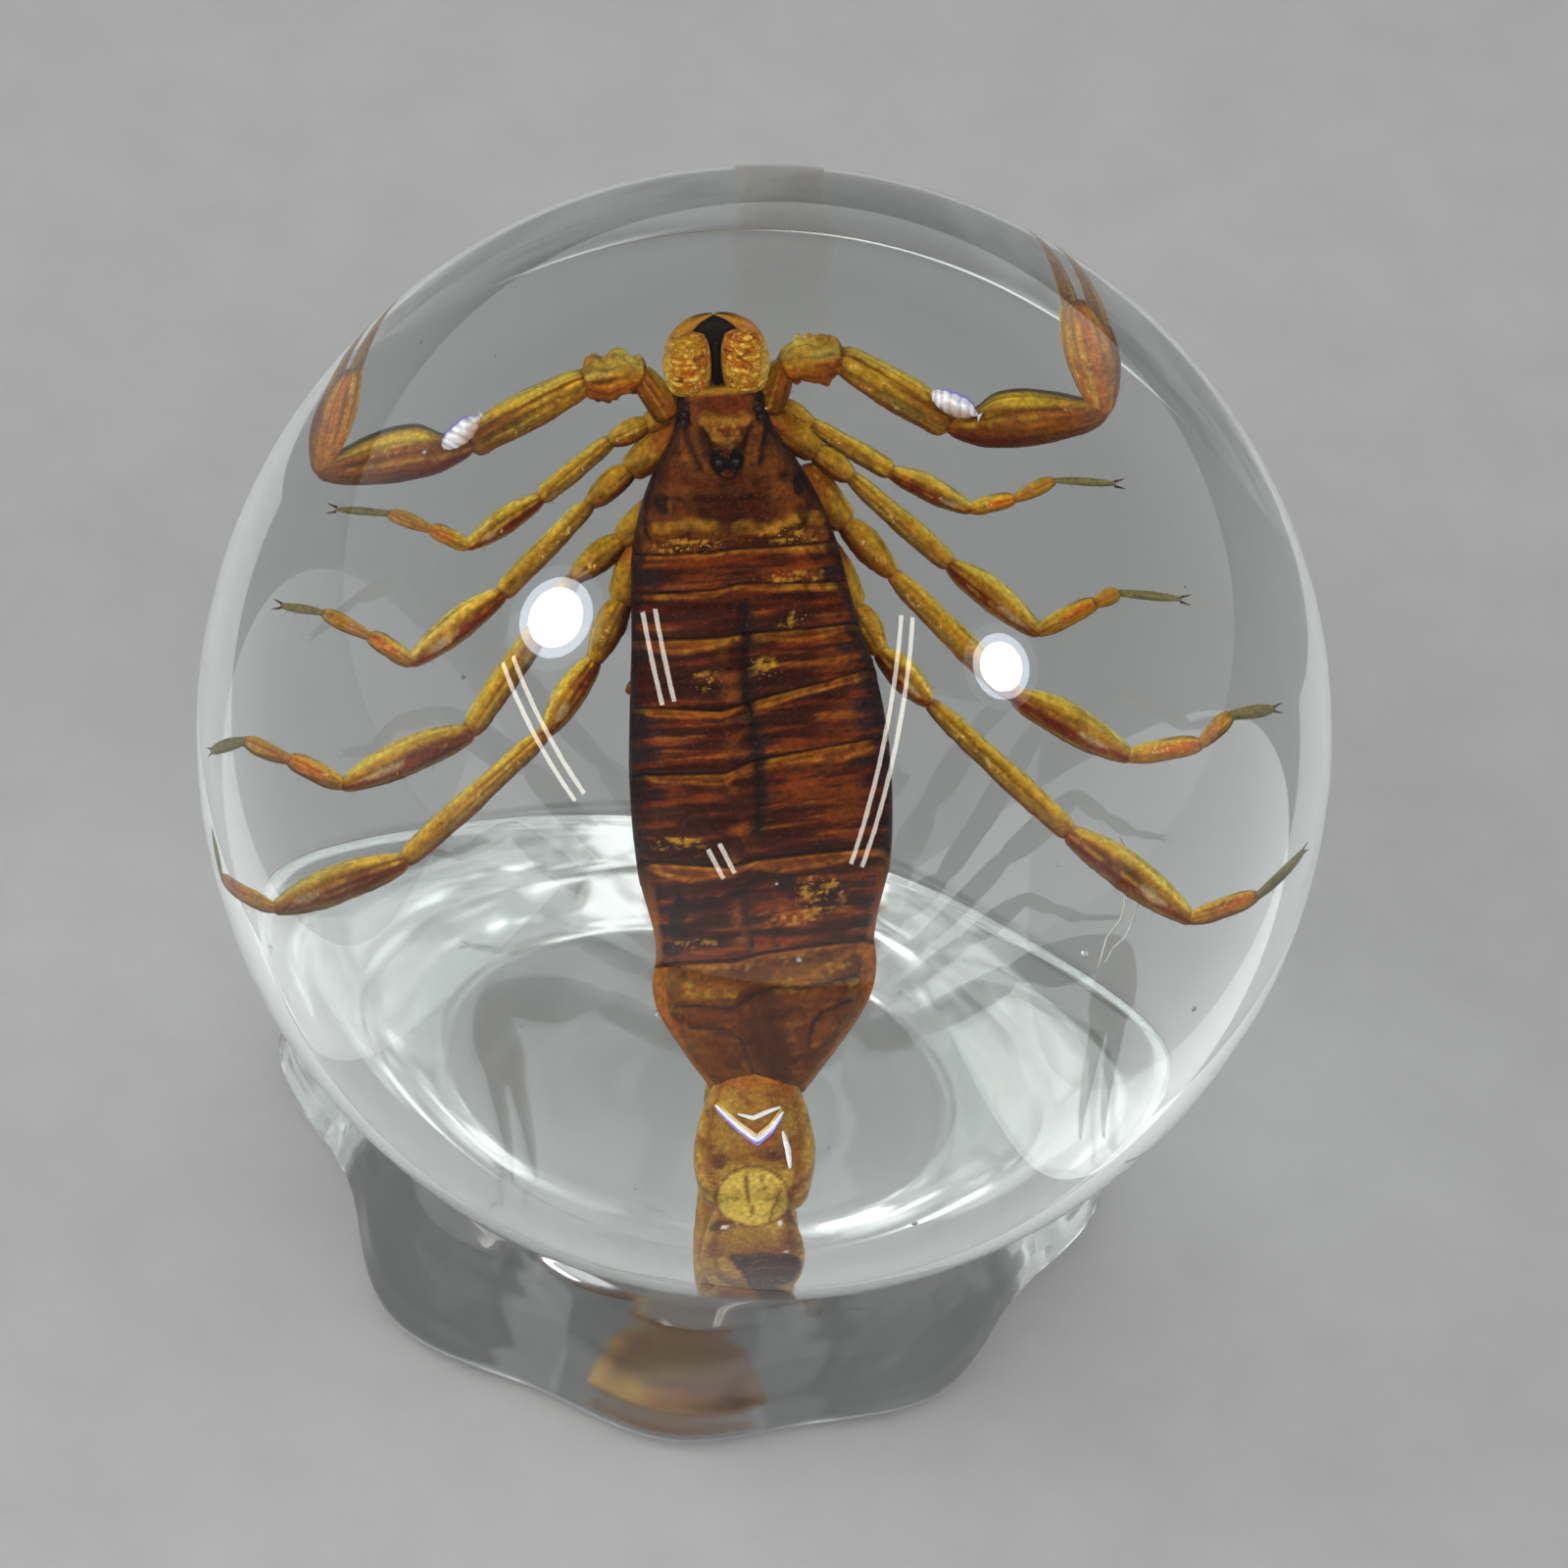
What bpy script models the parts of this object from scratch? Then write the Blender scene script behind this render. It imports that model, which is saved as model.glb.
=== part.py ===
"""A golden scorpion cast in a clear resin globe, which rests on a clear ring with soft lobes.

Constants are in millimetres and degrees, and the meshes are in metres.  The origin is the middle
of the stand's underside and +Z is up.  The scorpion has a frame of its own at the globe's centre:
+X to its right, +Y towards its head and +Z out of its back, which leans towards the front (-Y).
"""

import math

import bmesh
import bpy
from mathutils import Matrix, Vector

MM = 0.001
PARTS_NAME = "scorpion_in_resin_globe"
CUTTERS_NAME = "cutters"
WELD_DISTANCE = 0.02
SHARP_ANGLE = 35.0              # between faces that are shaded with an edge

# Globe
GLOBE_RADIUS = 30.0
GLOBE_LIFT = 3.0                # lowest point of the globe above the table
GLOBE_SEGMENTS = 36
GLOBE_RINGS = 18
PARTING_GAP = 0.3               # between the halves, in the scorpion's own plane
POCKET_CLEARANCE = 0.45         # resin to scorpion

# Scorpion's pose in the globe
BACK_LEAN = 42.0                # from facing straight up towards the front
HEAD_TURN = 14.1                # of the head towards the left of someone facing the front

# Stand
SEAT_GAP = 0.3
SEAT_RADIUS = 16.0              # circle on which the globe rests
SEAT_INWARD = 2.6               # length of the seat inside and outside that circle
SEAT_OUTWARD = 2.0
HOLE_RADIUS = 10.5
HOLE_LIP = (11.8, 3.6)          # radius and height where the hole starts to open to the seat
STAND_STEPS = 56
LOBE_AZIMUTHS = (-177.0, -124.0, -84.0, -48.0, -3.0, 43.0, 90.0, 136.0)
EVEN_LOBE_SPACING = 45.0
VALLEY_DEPTH = 1.75             # between two lobes at the even spacing
VALLEY_GROWTH = 3               # power of the spacing with which a valley gets deeper
# Outer wall at a lobe's tip, bottom to top: radius, height, share of the valley's depth
STAND_WALL = ((21.8, 0.0, 0.8), (23.0, 0.5, 0.95), (23.6, 1.6, 1.0), (23.2, 3.4, 0.95),
              (22.0, 5.6, 0.8), (20.7, 7.6, 0.6), (19.6, 8.8, 0.35), (18.7, 9.1, 0.15))

# Trunk, by distance headward along the body
TRUNK_SIDES = 16
TRUNK_FRONT = 12.7
TRUNK_REAR = -12.9
TRUNK_HALF_WIDTH = ((12.7, 1.4), (12.3, 1.55), (11.5, 1.66), (10.9, 1.85), (9.9, 2.42),
                    (8.8, 2.98), (7.6, 3.42), (6.7, 3.65), (3.6, 4.1), (1.3, 4.45),
                    (-2.0, 4.7), (-4.8, 4.55), (-7.9, 3.95), (-8.5, 4.05), (-9.6, 3.9),
                    (-11.2, 2.9), (-12.9, 1.65))
TRUNK_MIDLINE = ((12.7, -0.95), (6.7, -0.72), (1.0, -0.3), (-7.0, -0.35), (-12.9, -0.85))
TRUNK_BACK = ((12.7, 1.7), (11.5, 2.2), (6.7, 2.5), (-2.0, 2.7), (-9.6, 2.3), (-12.9, 1.6))
TRUNK_BELLY = ((12.7, -0.7), (10.5, -1.7), (-2.0, -2.1), (-9.6, -1.7), (-12.9, -1.3))
TRUNK_EDGE = 0.5                # height at which the trunk is widest
PLATE_REAR_EDGES = (6.7, 5.3, 3.6, 1.3, -1.3, -4.8, -8.1)
PLATE_LEDGE = 0.34              # step down behind a back plate
LEDGE_RUN = 0.22
SQUARENESS = 0.8                # below 1 the trunk's section is boxier than an oval

EYE_MOUND = (-0.83, 10.0, 2.35)
EYE_MOUND_SIZE = (0.62, 0.56, 0.5)

# Chelicerae: two round hands side by side, each with a finger that arches to the midline
CHELICERA_MIDLINE = -1.03
CHELICERA_OFFSET = 1.05
CHELICERA_CENTRE_Y = 13.65
CHELICERA_HEIGHT = 0.9
CHELICERA_SIZE = (0.88, 1.25, 1.05)
CHELICERA_FINGER_START = (1.42, 14.4)
CHELICERA_FINGER_LENGTH = 1.8
CHELICERA_FINGER_HALF_WIDTH = 0.42
CHELICERA_FINGER_HEADING = 141.0
CHELICERA_POCKET_SIZE = (2.7, 2.6, 1.6)

# Limbs.  A heading is measured from straight outward towards the head.
SIDES = {"left": -1.0, "right": 1.0}
LIMB_SIDES = 6
PALP_SIDES = 8
LUMP_SEGMENTS = 8
LUMP_RINGS = 5
JOINT_GIRTH = 0.6               # of the slimmer of the two segments that meet
SEGMENT_SHARES = (0.2, 0.78)    # where along a segment it is at its widest
SLIM_SEGMENT = 0.35             # half width up to which one place is enough
SLIM_SHARES = (0.55,)
HORN_STEPS = 4
HORN_POCKET_STEPS = 2
HORN_TAPER = 0.8                # share of the root's girth that is gone at the tip
HORN_FULLNESS = 1.5             # above 1 most of the taper is near the tip

# Leg segments outward; the last pair has one more before its long ones.
# The coxa runs from inside the trunk to the hip, and takes the trochanter's heading.
COXA_LENGTH = 2.3
LEG_HALF_WIDTHS = {1: (0.62, 0.4, 0.36, 0.42, 0.3, 0.25, 0.16),
                   2: (0.68, 0.46, 0.39, 0.51, 0.34, 0.27, 0.17),
                   3: (0.72, 0.5, 0.45, 0.6, 0.38, 0.31, 0.26),
                   4: (0.8, 0.52, 0.5, 0.42, 0.62, 0.38, 0.27)}
LEG_TALLNESS = 1.15
LEG_START_HEIGHT = -0.4
LEG_SLOPES = (4.0, 3.0, 6.0, 8.0, 8.0, 8.0)
LEG_LENGTHS = {("left", 1): (1.5, 3.2, 3.1, 1.5, 1.7, 2.1),
               ("left", 2): (1.9, 4.5, 4.0, 1.8, 2.0, 1.8),
               ("left", 3): (2.2, 6.6, 5.0, 2.3, 2.2, 2.3),
               ("left", 4): (2.4, 3.1, 6.8, 5.6, 3.7, 1.8),
               ("right", 1): (1.6, 3.3, 3.1, 1.6, 1.6, 2.2),
               ("right", 2): (1.6, 4.7, 3.9, 2.3, 0.9, 2.3),
               ("right", 3): (2.5, 6.1, 4.6, 2.7, 1.6, 1.9),
               ("right", 4): (1.9, 2.5, 6.8, 5.4, 2.9, 3.0)}
LEG_HIPS = {("left", 1): (-3.5, 11.2), ("left", 2): (-4.2, 9.6),
            ("left", 3): (-4.6, 7.1), ("left", 4): (-4.7, 5.0),
            ("right", 1): (0.9, 11.7), ("right", 2): (2.3, 9.9),
            ("right", 3): (3.2, 7.3), ("right", 4): (3.3, 4.3)}
LEG_HEADINGS = {("left", 1): (-21, -37, -31, 28, 24, 10),
                ("left", 2): (-37, -43, -34, 34, 29, 14),
                ("left", 3): (-35, -53, -19, 26, 21, -7),
                ("left", 4): (-62, -53, -39, -17, 14, 92),
                ("right", 1): (-32, -35, -29, 10, 22, -5),
                ("right", 2): (-40, -45, -41, 24, 20, -8),
                ("right", 3): (-51, -48, -31, 6, 38, 4),
                ("right", 4): (-62, -49, -46, -38, 10, 27)}

# Pedipalp segments outward: coxa, trochanter, femur, patella, hand
PALP_HALF_WIDTHS = (0.6, 0.75, 0.66, 1.0, 1.17)
PALP_LENGTHS = {"left": (1.9, 2.0, 4.8, 6.0, 4.1), "right": (1.8, 2.0, 4.7, 5.7, 4.4)}
PALP_SLOPES = (3.0, 3.0, 7.0, 7.0, 3.0)
PALP_STARTS = {"left": (-2.8, 11.6), "right": (0.75, 11.6)}
PALP_START_HEIGHT = 0.2
PALP_HEADINGS = {"left": (60, -4, -26, -2, 95), "right": (68, 4, -36, 4, 90)}
CLAW_FINGER_LENGTH = 7.6
CLAW_FINGER_HALF_WIDTH = 0.48
CLAW_FINGER_OVERLAP = 0.7       # of a finger's root with the hand
# Root's offset outward from the hand's axis, heading from the hand's own, and bend
CLAW_FINGERS = {"inner": (-0.5, -1.0, -6.0), "outer": (0.66, -4.0, -2.0)}

# Tail.  A pitch turns a segment from straight back towards the belly side.
TAIL_START = (-1.0, -12.5, 0.15)
TAIL_SIDES = 8
TAIL_LENGTHS = (5.0, 4.9, 5.2, 5.9, 6.8)
TAIL_HALF_WIDTHS = (2.1, 1.9, 1.8, 1.65, 1.5)
TAIL_PITCHES = (0.0, 10.0, 72.0, 138.0, 180.0)
TAIL_TALLNESS = 0.8
TAIL_LEAN = -1.2                # of the curl's plane towards the right
TAIL_YAW = 4.0                  # of the tail's root towards the left
VENOM_BULB_LENGTH = 3.4
VENOM_BULB_HALF_WIDTH = 1.35
VENOM_BULB_PITCH = 196.0
VENOM_BULB_OVERLAP = 0.6
STING_LENGTH = 3.2
STING_HALF_WIDTH = 0.42
STING_BEND = 65.0

# Combs on the belly behind the last legs
COMB_LENGTH = 4.4
COMB_HALF_WIDTH = 0.75
COMB_TALLNESS = 0.45
COMB_HEADING = -38.0
COMB_ROOT = (0.6, 4.4, -1.85)

CHITIN = {"Base Color": (0.36, 0.13, 0.03, 1.0), "Roughness": 0.38, "Metallic": 0.0}
RESIN = {"Base Color": (0.97, 0.98, 0.97, 1.0), "Roughness": 0.02, "Metallic": 0.0,
         "Transmission Weight": 1.0, "IOR": 1.5}


def clear_scene():
    for item in list(bpy.data.objects):
        bpy.data.objects.remove(item, do_unlink=True)


def new_collection(name):
    collection = bpy.data.collections.new(name)
    bpy.context.scene.collection.children.link(collection)
    return collection


def principled(name, values):
    material = bpy.data.materials.new(name)
    material.use_nodes = True
    shader = material.node_tree.nodes["Principled BSDF"]
    for socket, value in values.items():
        shader.inputs[socket].default_value = value
    return material


def add_object(name, mesh, collection, parent=None):
    item = bpy.data.objects.new(name, mesh)
    item.parent = parent
    collection.objects.link(item)
    return item


def from_bmesh(name, body, collection, parent=None):
    """An object from a bmesh whose points are in millimetres."""
    bmesh.ops.scale(body, vec=(MM, MM, MM), verts=body.verts)
    bmesh.ops.recalc_face_normals(body, faces=body.faces)
    mesh = bpy.data.meshes.new(name)
    body.to_mesh(mesh)
    body.free()
    return add_object(name, mesh, collection, parent)


def interpolate(points, at):
    """Value on the straight lines through (position, value) points in falling order."""
    if at >= points[0][0]:
        return points[0][1]
    for (near, near_value), (far, far_value) in zip(points, points[1:]):
        if at >= far:
            return near_value + (far_value - near_value) * (near - at) / (near - far)
    return points[-1][1]


def loft(name, rings, collection, parent):
    """One closed skin over rings of equal count, with both end rings capped."""
    body = bmesh.new()
    loops = [[body.verts.new(point) for point in ring] for ring in rings]
    for near, far in zip(loops, loops[1:]):
        for i in range(len(near)):
            j = (i + 1) % len(near)
            body.faces.new((near[i], near[j], far[j], far[i]))
    body.faces.new(reversed(loops[0]))
    body.faces.new(loops[-1])
    return from_bmesh(name, body, collection, parent)


def oval(centre, along, across, half_width, half_height, sides):
    """Points of an oval whose width lies along `across`, square to the direction `along`."""
    across = (across - along * across.dot(along)).normalized()
    up = across.cross(along)
    points = []
    for i in range(sides):
        angle = math.tau * (i + 0.5) / sides
        points.append(centre + across * (half_width * math.cos(angle))
                      + up * (half_height * math.sin(angle)))
    return points


def heading_vector(heading, side=1.0, slope=0.0):
    """Direction in the scorpion's frame; a positive slope goes towards its belly."""
    turn, fall = math.radians(heading), math.radians(slope)
    return Vector((side * math.cos(turn) * math.cos(fall),
                   math.sin(turn) * math.cos(fall), -math.sin(fall)))


class Maker:
    """Builds the scorpion's pieces, or with a clearance the same pieces of its pocket."""

    def __init__(self, prefix, collection, pose, clearance=0.0):
        self.prefix = prefix
        self.collection = collection
        self.pose = pose
        self.clearance = clearance

    def name(self, *words):
        return "_".join((self.prefix,) + words)

    def trunk(self, name):
        """Carapace and ringed back; each back plate ends in a ledge over the next one."""
        stations = {point[0] for point in TRUNK_HALF_WIDTH}
        if not self.clearance:
            stations.update(PLATE_REAR_EDGES)
            stations.update(edge - LEDGE_RUN for edge in PLATE_REAR_EDGES)
        rings = [self.trunk_ring(at) for at in sorted(stations, reverse=True)]
        return loft(name, rings, self.collection, self.pose)

    def trunk_ring(self, at):
        sunk = 0.0 if self.clearance else PLATE_LEDGE * plate_start_share(at)
        middle = interpolate(TRUNK_MIDLINE, at)
        half_width = interpolate(TRUNK_HALF_WIDTH, at) - sunk / 2 + self.clearance
        rise = interpolate(TRUNK_BACK, at) - sunk + self.clearance - TRUNK_EDGE
        fall = TRUNK_EDGE - interpolate(TRUNK_BELLY, at) + self.clearance
        if at == TRUNK_FRONT:
            at += self.clearance
        points = []
        for i in range(TRUNK_SIDES):
            angle = math.tau * (i + 0.5) / TRUNK_SIDES
            across = math.copysign(abs(math.cos(angle)) ** SQUARENESS, math.cos(angle))
            height = math.copysign(abs(math.sin(angle)) ** SQUARENESS, math.sin(angle))
            tall = rise if height > 0.0 else fall
            points.append(Vector((middle + half_width * across, at, TRUNK_EDGE + tall * height)))
        return points

    def chain(self, name, joints, half_widths, tallness, sides, hinge=None):
        """Segments end to end in one skin, pinched at each joint, where the ring is mitred.

        The hinge is the direction of a ring's width; without one it lies in the scorpion's plane.
        """
        directions = [(far - near).normalized() for near, far in zip(joints, joints[1:])]
        last = len(directions)
        rings = []
        for i, joint in enumerate(joints):
            before = directions[max(i - 1, 0)]
            after = directions[min(i, last - 1)]
            along = (before + after).normalized()
            widths = half_widths[max(i - 1, 0)], half_widths[min(i, last - 1)]
            if self.clearance:
                girth = max(widths)
                overrun = self.clearance * (1.0 if i == last else -1.0 if i == 0 else 0.0)
                joint = joint + along * overrun
            else:
                girth = min(widths) * JOINT_GIRTH
            mitre = 1.0 / along.dot(after)
            rings.append(self.ring(joint, along, hinge, girth, tallness, sides, mitre))
            if i < last and not self.clearance:
                for share in SEGMENT_SHARES if half_widths[i] > SLIM_SEGMENT else SLIM_SHARES:
                    rings.append(self.ring(joint.lerp(joints[i + 1], share), after, hinge,
                                           half_widths[i], tallness, sides))
        return loft(name, rings, self.collection, self.pose)

    def ring(self, centre, along, hinge, girth, tallness, sides, mitre=1.0):
        across = hinge or along.cross(Vector((0.0, 0.0, 1.0)))
        half_width = (girth + self.clearance) * (1.0 if hinge else mitre)
        half_height = (girth * tallness + self.clearance) * (mitre if hinge else 1.0)
        return oval(centre, along, across, half_width, half_height, sides)

    def horn(self, name, start, direction, length, bend, half_width, axis):
        """A tapering hook: its direction turns by `bend` about `axis` from root to tip."""
        steps = HORN_POCKET_STEPS if self.clearance else HORN_STEPS
        along, point, rings = direction, start.copy(), []
        hinge = Vector((1.0, 0.0, 0.0)) if axis == "X" else None
        for i in range(steps + 1):
            share = i / steps
            along = Matrix.Rotation(math.radians(bend * share), 3, axis) @ direction
            reach = self.clearance if i == steps else 0.0
            girth = half_width * (1.0 - HORN_TAPER * share ** HORN_FULLNESS)
            rings.append(self.ring(point + along * reach, along, hinge, girth, 1.0, LIMB_SIDES))
            point += along * (length / steps)
        return loft(name, rings, self.collection, self.pose)

    def lump(self, name, centre, size):
        body = bmesh.new()
        bmesh.ops.create_uvsphere(body, u_segments=LUMP_SEGMENTS, v_segments=LUMP_RINGS, radius=1.0)
        grown = [half + self.clearance for half in size]
        bmesh.ops.scale(body, vec=grown, verts=body.verts)
        bmesh.ops.translate(body, vec=centre, verts=body.verts)
        return from_bmesh(name, body, self.collection, self.pose)

    def chelicera_pocket(self):
        """One hollow round both chelicerae and their fingers."""
        centre = (CHELICERA_MIDLINE, CHELICERA_CENTRE_Y, CHELICERA_HEIGHT)
        self.lump(self.name("chelicerae"), centre, CHELICERA_POCKET_SIZE)

    def chelicera(self, side_name):
        side = SIDES[side_name]
        middle = CHELICERA_MIDLINE + side * CHELICERA_OFFSET
        centre = (middle, CHELICERA_CENTRE_Y, CHELICERA_HEIGHT)
        self.lump(self.name("chelicera", side_name), centre, CHELICERA_SIZE)
        offset, along = CHELICERA_FINGER_START
        root = Vector((CHELICERA_MIDLINE + side * offset, along, CHELICERA_HEIGHT))
        self.horn(self.name("chelicera_finger", side_name), root,
                  heading_vector(CHELICERA_FINGER_HEADING, side), CHELICERA_FINGER_LENGTH, 0.0,
                  CHELICERA_FINGER_HALF_WIDTH, "Z")

    def leg(self, side_name, pair):
        side = SIDES[side_name]
        hip = Vector((*LEG_HIPS[side_name, pair], LEG_START_HEIGHT))
        headings = LEG_HEADINGS[side_name, pair]
        joints = [hip - heading_vector(headings[0], side) * COXA_LENGTH, hip]
        for length, heading, slope in zip(LEG_LENGTHS[side_name, pair], headings, LEG_SLOPES):
            joints.append(joints[-1] + heading_vector(heading, side, slope) * length)
        self.chain(self.name("leg", side_name, str(pair)), joints, LEG_HALF_WIDTHS[pair],
                   LEG_TALLNESS, LIMB_SIDES)

    def palp(self, side_name):
        """Pedipalp from its coxa to the hand, and the hand's two fingers."""
        side = SIDES[side_name]
        joints = [Vector((*PALP_STARTS[side_name], PALP_START_HEIGHT))]
        for length, heading, slope in zip(PALP_LENGTHS[side_name], PALP_HEADINGS[side_name],
                                          PALP_SLOPES):
            joints.append(joints[-1] + heading_vector(heading, side, slope) * length)
        self.chain(self.name("palp", side_name), joints, PALP_HALF_WIDTHS, 1.0, PALP_SIDES)
        along = (joints[-1] - joints[-2]).normalized()
        outward = along.cross(Vector((0.0, 0.0, 1.0))).normalized() * side
        for finger, (offset, turn, bend) in CLAW_FINGERS.items():
            direction = Matrix.Rotation(math.radians(turn * side), 3, "Z") @ along
            root = joints[-1] + outward * offset - along * CLAW_FINGER_OVERLAP
            self.horn(self.name("claw", side_name, finger), root, direction, CLAW_FINGER_LENGTH,
                      bend * side, CLAW_FINGER_HALF_WIDTH, "Z")

    def tail(self):
        joints = [Vector(TAIL_START)]
        for length, pitch in zip(TAIL_LENGTHS, TAIL_PITCHES):
            joints.append(joints[-1] + tail_direction(pitch) * length)
        hinge = Vector((1.0, 0.0, 0.0))
        self.chain(self.name("tail"), joints, TAIL_HALF_WIDTHS, TAIL_TALLNESS, TAIL_SIDES, hinge)
        direction = tail_direction(VENOM_BULB_PITCH)
        end = joints[-1] + direction * VENOM_BULB_LENGTH
        start = joints[-1] - direction * VENOM_BULB_OVERLAP
        self.chain(self.name("venom_bulb"), [start, end], [VENOM_BULB_HALF_WIDTH], 1.0,
                   TAIL_SIDES, hinge)
        self.horn(self.name("sting"), end - direction * VENOM_BULB_OVERLAP, direction,
                  STING_LENGTH, STING_BEND, STING_HALF_WIDTH, "X")

    def comb(self, side_name):
        side = SIDES[side_name]
        offset, along, height = COMB_ROOT
        middle = interpolate(TRUNK_MIDLINE, along)
        start = Vector((middle + side * offset, along, height))
        end = start + heading_vector(COMB_HEADING, side) * COMB_LENGTH
        self.chain(self.name("comb", side_name), [start, end], [COMB_HALF_WIDTH],
                   COMB_TALLNESS, LIMB_SIDES)

    def limbs(self):
        self.lump(self.name("eye_mound"), EYE_MOUND, EYE_MOUND_SIZE)
        if self.clearance:
            self.chelicera_pocket()
        for side_name in SIDES:
            if not self.clearance:
                self.chelicera(side_name)
            self.palp(side_name)
            self.comb(side_name)
            for pair in LEG_HALF_WIDTHS:
                self.leg(side_name, pair)
        self.tail()


def plate_start_share(at):
    """1 just behind a back plate's rear edge, falling to 0 at the next rear edge."""
    edges = PLATE_REAR_EDGES + (TRUNK_REAR,)
    for front, rear in zip(edges, edges[1:]):
        if rear <= at < front:
            return min(1.0, (at - rear) / (front - LEDGE_RUN - rear))
    return 0.0


def tail_direction(pitch):
    turn, lean = math.radians(pitch), math.radians(TAIL_LEAN)
    yaw = math.radians(TAIL_YAW) * math.cos(turn)
    return Vector((math.sin(turn) * math.sin(lean) - math.sin(yaw),
                   -math.cos(turn), -math.sin(turn) * math.cos(lean))).normalized()


def add_boolean(item, operation, other=None, others=None):
    modifier = item.modifiers.new(operation.title(), "BOOLEAN")
    modifier.operation = operation
    modifier.solver = "EXACT"
    if others:
        modifier.operand_type = "COLLECTION"
        modifier.collection = others
    else:
        modifier.object = other


def add_weld(item):
    """Closes the hair-thin faces that a join leaves where pieces cross."""
    modifier = item.modifiers.new("Weld", "WELD")
    modifier.merge_threshold = WELD_DISTANCE * MM


def hide(collection):
    for item in collection.all_objects:
        item.hide_render = True
        item.display_type = "WIRE"


def make_scorpion(parts, cutters, pose, chitin):
    limbs = bpy.data.collections.new("scorpion_limbs")
    cutters.children.link(limbs)
    Maker("limb", limbs, pose).limbs()
    scorpion = Maker("trunk", parts, pose).trunk("scorpion")
    add_boolean(scorpion, "UNION", others=limbs)
    add_weld(scorpion)
    scorpion.data.materials.append(chitin)


def make_pocket(cutters, pose):
    limbs = bpy.data.collections.new("pocket_limbs")
    cutters.children.link(limbs)
    Maker("pocket", limbs, pose, POCKET_CLEARANCE).limbs()
    pocket = Maker("pocket", cutters, pose, POCKET_CLEARANCE).trunk("pocket")
    add_boolean(pocket, "UNION", others=limbs)
    return pocket


def make_globe_half(name, side, parts, pose, pocket, resin):
    """A dome whose flat face is the parting plane, with its share of the pocket cut in."""
    body = bmesh.new()
    bmesh.ops.create_uvsphere(body, u_segments=GLOBE_SEGMENTS, v_segments=GLOBE_RINGS,
                              radius=GLOBE_RADIUS)
    cut = bmesh.ops.bisect_plane(body, geom=body.verts[:] + body.edges[:] + body.faces[:],
                                 plane_co=(0.0, 0.0, side * PARTING_GAP / 2),
                                 plane_no=(0.0, 0.0, side), clear_inner=True)
    rim = [item for item in cut["geom_cut"] if isinstance(item, bmesh.types.BMEdge)]
    bmesh.ops.contextual_create(body, geom=rim)
    half = from_bmesh(name, body, parts, pose)
    add_boolean(half, "DIFFERENCE", other=pocket)
    half.data.materials.append(resin)


def valley_share(angle):
    """Depth of the stand's wall behind a lobe's tip, in millimetres, at an angle in degrees."""
    starts = LOBE_AZIMUTHS
    ends = LOBE_AZIMUTHS[1:] + (LOBE_AZIMUTHS[0] + 360.0,)
    for start, end in zip(starts, ends):
        share = ((angle - start) % 360.0) / (end - start)
        if share < 1.0:
            depth = VALLEY_DEPTH * ((end - start) / EVEN_LOBE_SPACING) ** VALLEY_GROWTH
            return depth * (1.0 - math.cos(math.tau * share)) / 2
    return 0.0


def stand_profile():
    """Radius, height and share of the valleys, from the hole's foot round the outside to the hole."""
    reach = GLOBE_RADIUS + SEAT_GAP
    fall = math.asin(SEAT_RADIUS / GLOBE_RADIUS)
    along = Vector((math.cos(fall), math.sin(fall)))
    touch = Vector((reach * math.sin(fall), GLOBE_LIFT + GLOBE_RADIUS - reach * math.cos(fall)))
    outer, inner = touch + along * SEAT_OUTWARD, touch - along * SEAT_INWARD
    seat = ((outer.x, outer.y, 0.0), (inner.x, inner.y, 0.0))
    return ((HOLE_RADIUS, 0.0, 0.0),) + STAND_WALL + seat + ((*HOLE_LIP, 0.0),)


def make_stand(parts, resin):
    body = bmesh.new()
    profile = stand_profile()
    rings = []
    for step in range(STAND_STEPS):
        angle = math.tau * step / STAND_STEPS
        valley = valley_share(math.degrees(angle))
        ring = []
        for radius, height, share in profile:
            reach = radius - share * valley
            ring.append(body.verts.new((reach * math.cos(angle), reach * math.sin(angle), height)))
        rings.append(ring)
    for step in range(STAND_STEPS):
        near, far = rings[step], rings[(step + 1) % STAND_STEPS]
        for i in range(len(profile)):
            j = (i + 1) % len(profile)
            body.faces.new((near[i], far[i], far[j], near[j]))
    stand = from_bmesh("stand", body, parts)
    stand.data.materials.append(resin)


def smooth(parts):
    for item in parts.objects:
        if item.type == "MESH":
            item.data.shade_smooth()
            item.data.set_sharp_from_angle(angle=math.radians(SHARP_ANGLE))


def main():
    clear_scene()
    parts = new_collection(PARTS_NAME)
    cutters = new_collection(CUTTERS_NAME)
    chitin = principled("chitin", CHITIN)
    resin = principled("resin", RESIN)
    pose = add_object("scorpion_pose", None, parts)
    pose.location = (0.0, 0.0, (GLOBE_LIFT + GLOBE_RADIUS) * MM)
    lean = Matrix.Rotation(math.radians(BACK_LEAN), 3, "X")
    turn = Matrix.Rotation(math.radians(HEAD_TURN), 3, "Z")
    pose.rotation_euler = (lean @ turn).to_euler()
    make_scorpion(parts, cutters, pose, chitin)
    pocket = make_pocket(cutters, pose)
    make_globe_half("globe_upper_half", 1.0, parts, pose, pocket, resin)
    make_globe_half("globe_lower_half", -1.0, parts, pose, pocket, resin)
    make_stand(parts, resin)
    smooth(parts)
    hide(cutters)


main()
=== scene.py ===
"""Looks of the scorpion in its resin globe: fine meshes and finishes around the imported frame.

Constants are in millimetres and degrees where no other unit is named.  The scorpion has a frame
of its own at the globe's centre: +X to its right, +Y towards its head and +Z out of its back.
"""

import itertools
import math

import bmesh
import bpy
import numpy as np
from mathutils import Euler, Matrix, Vector


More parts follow.
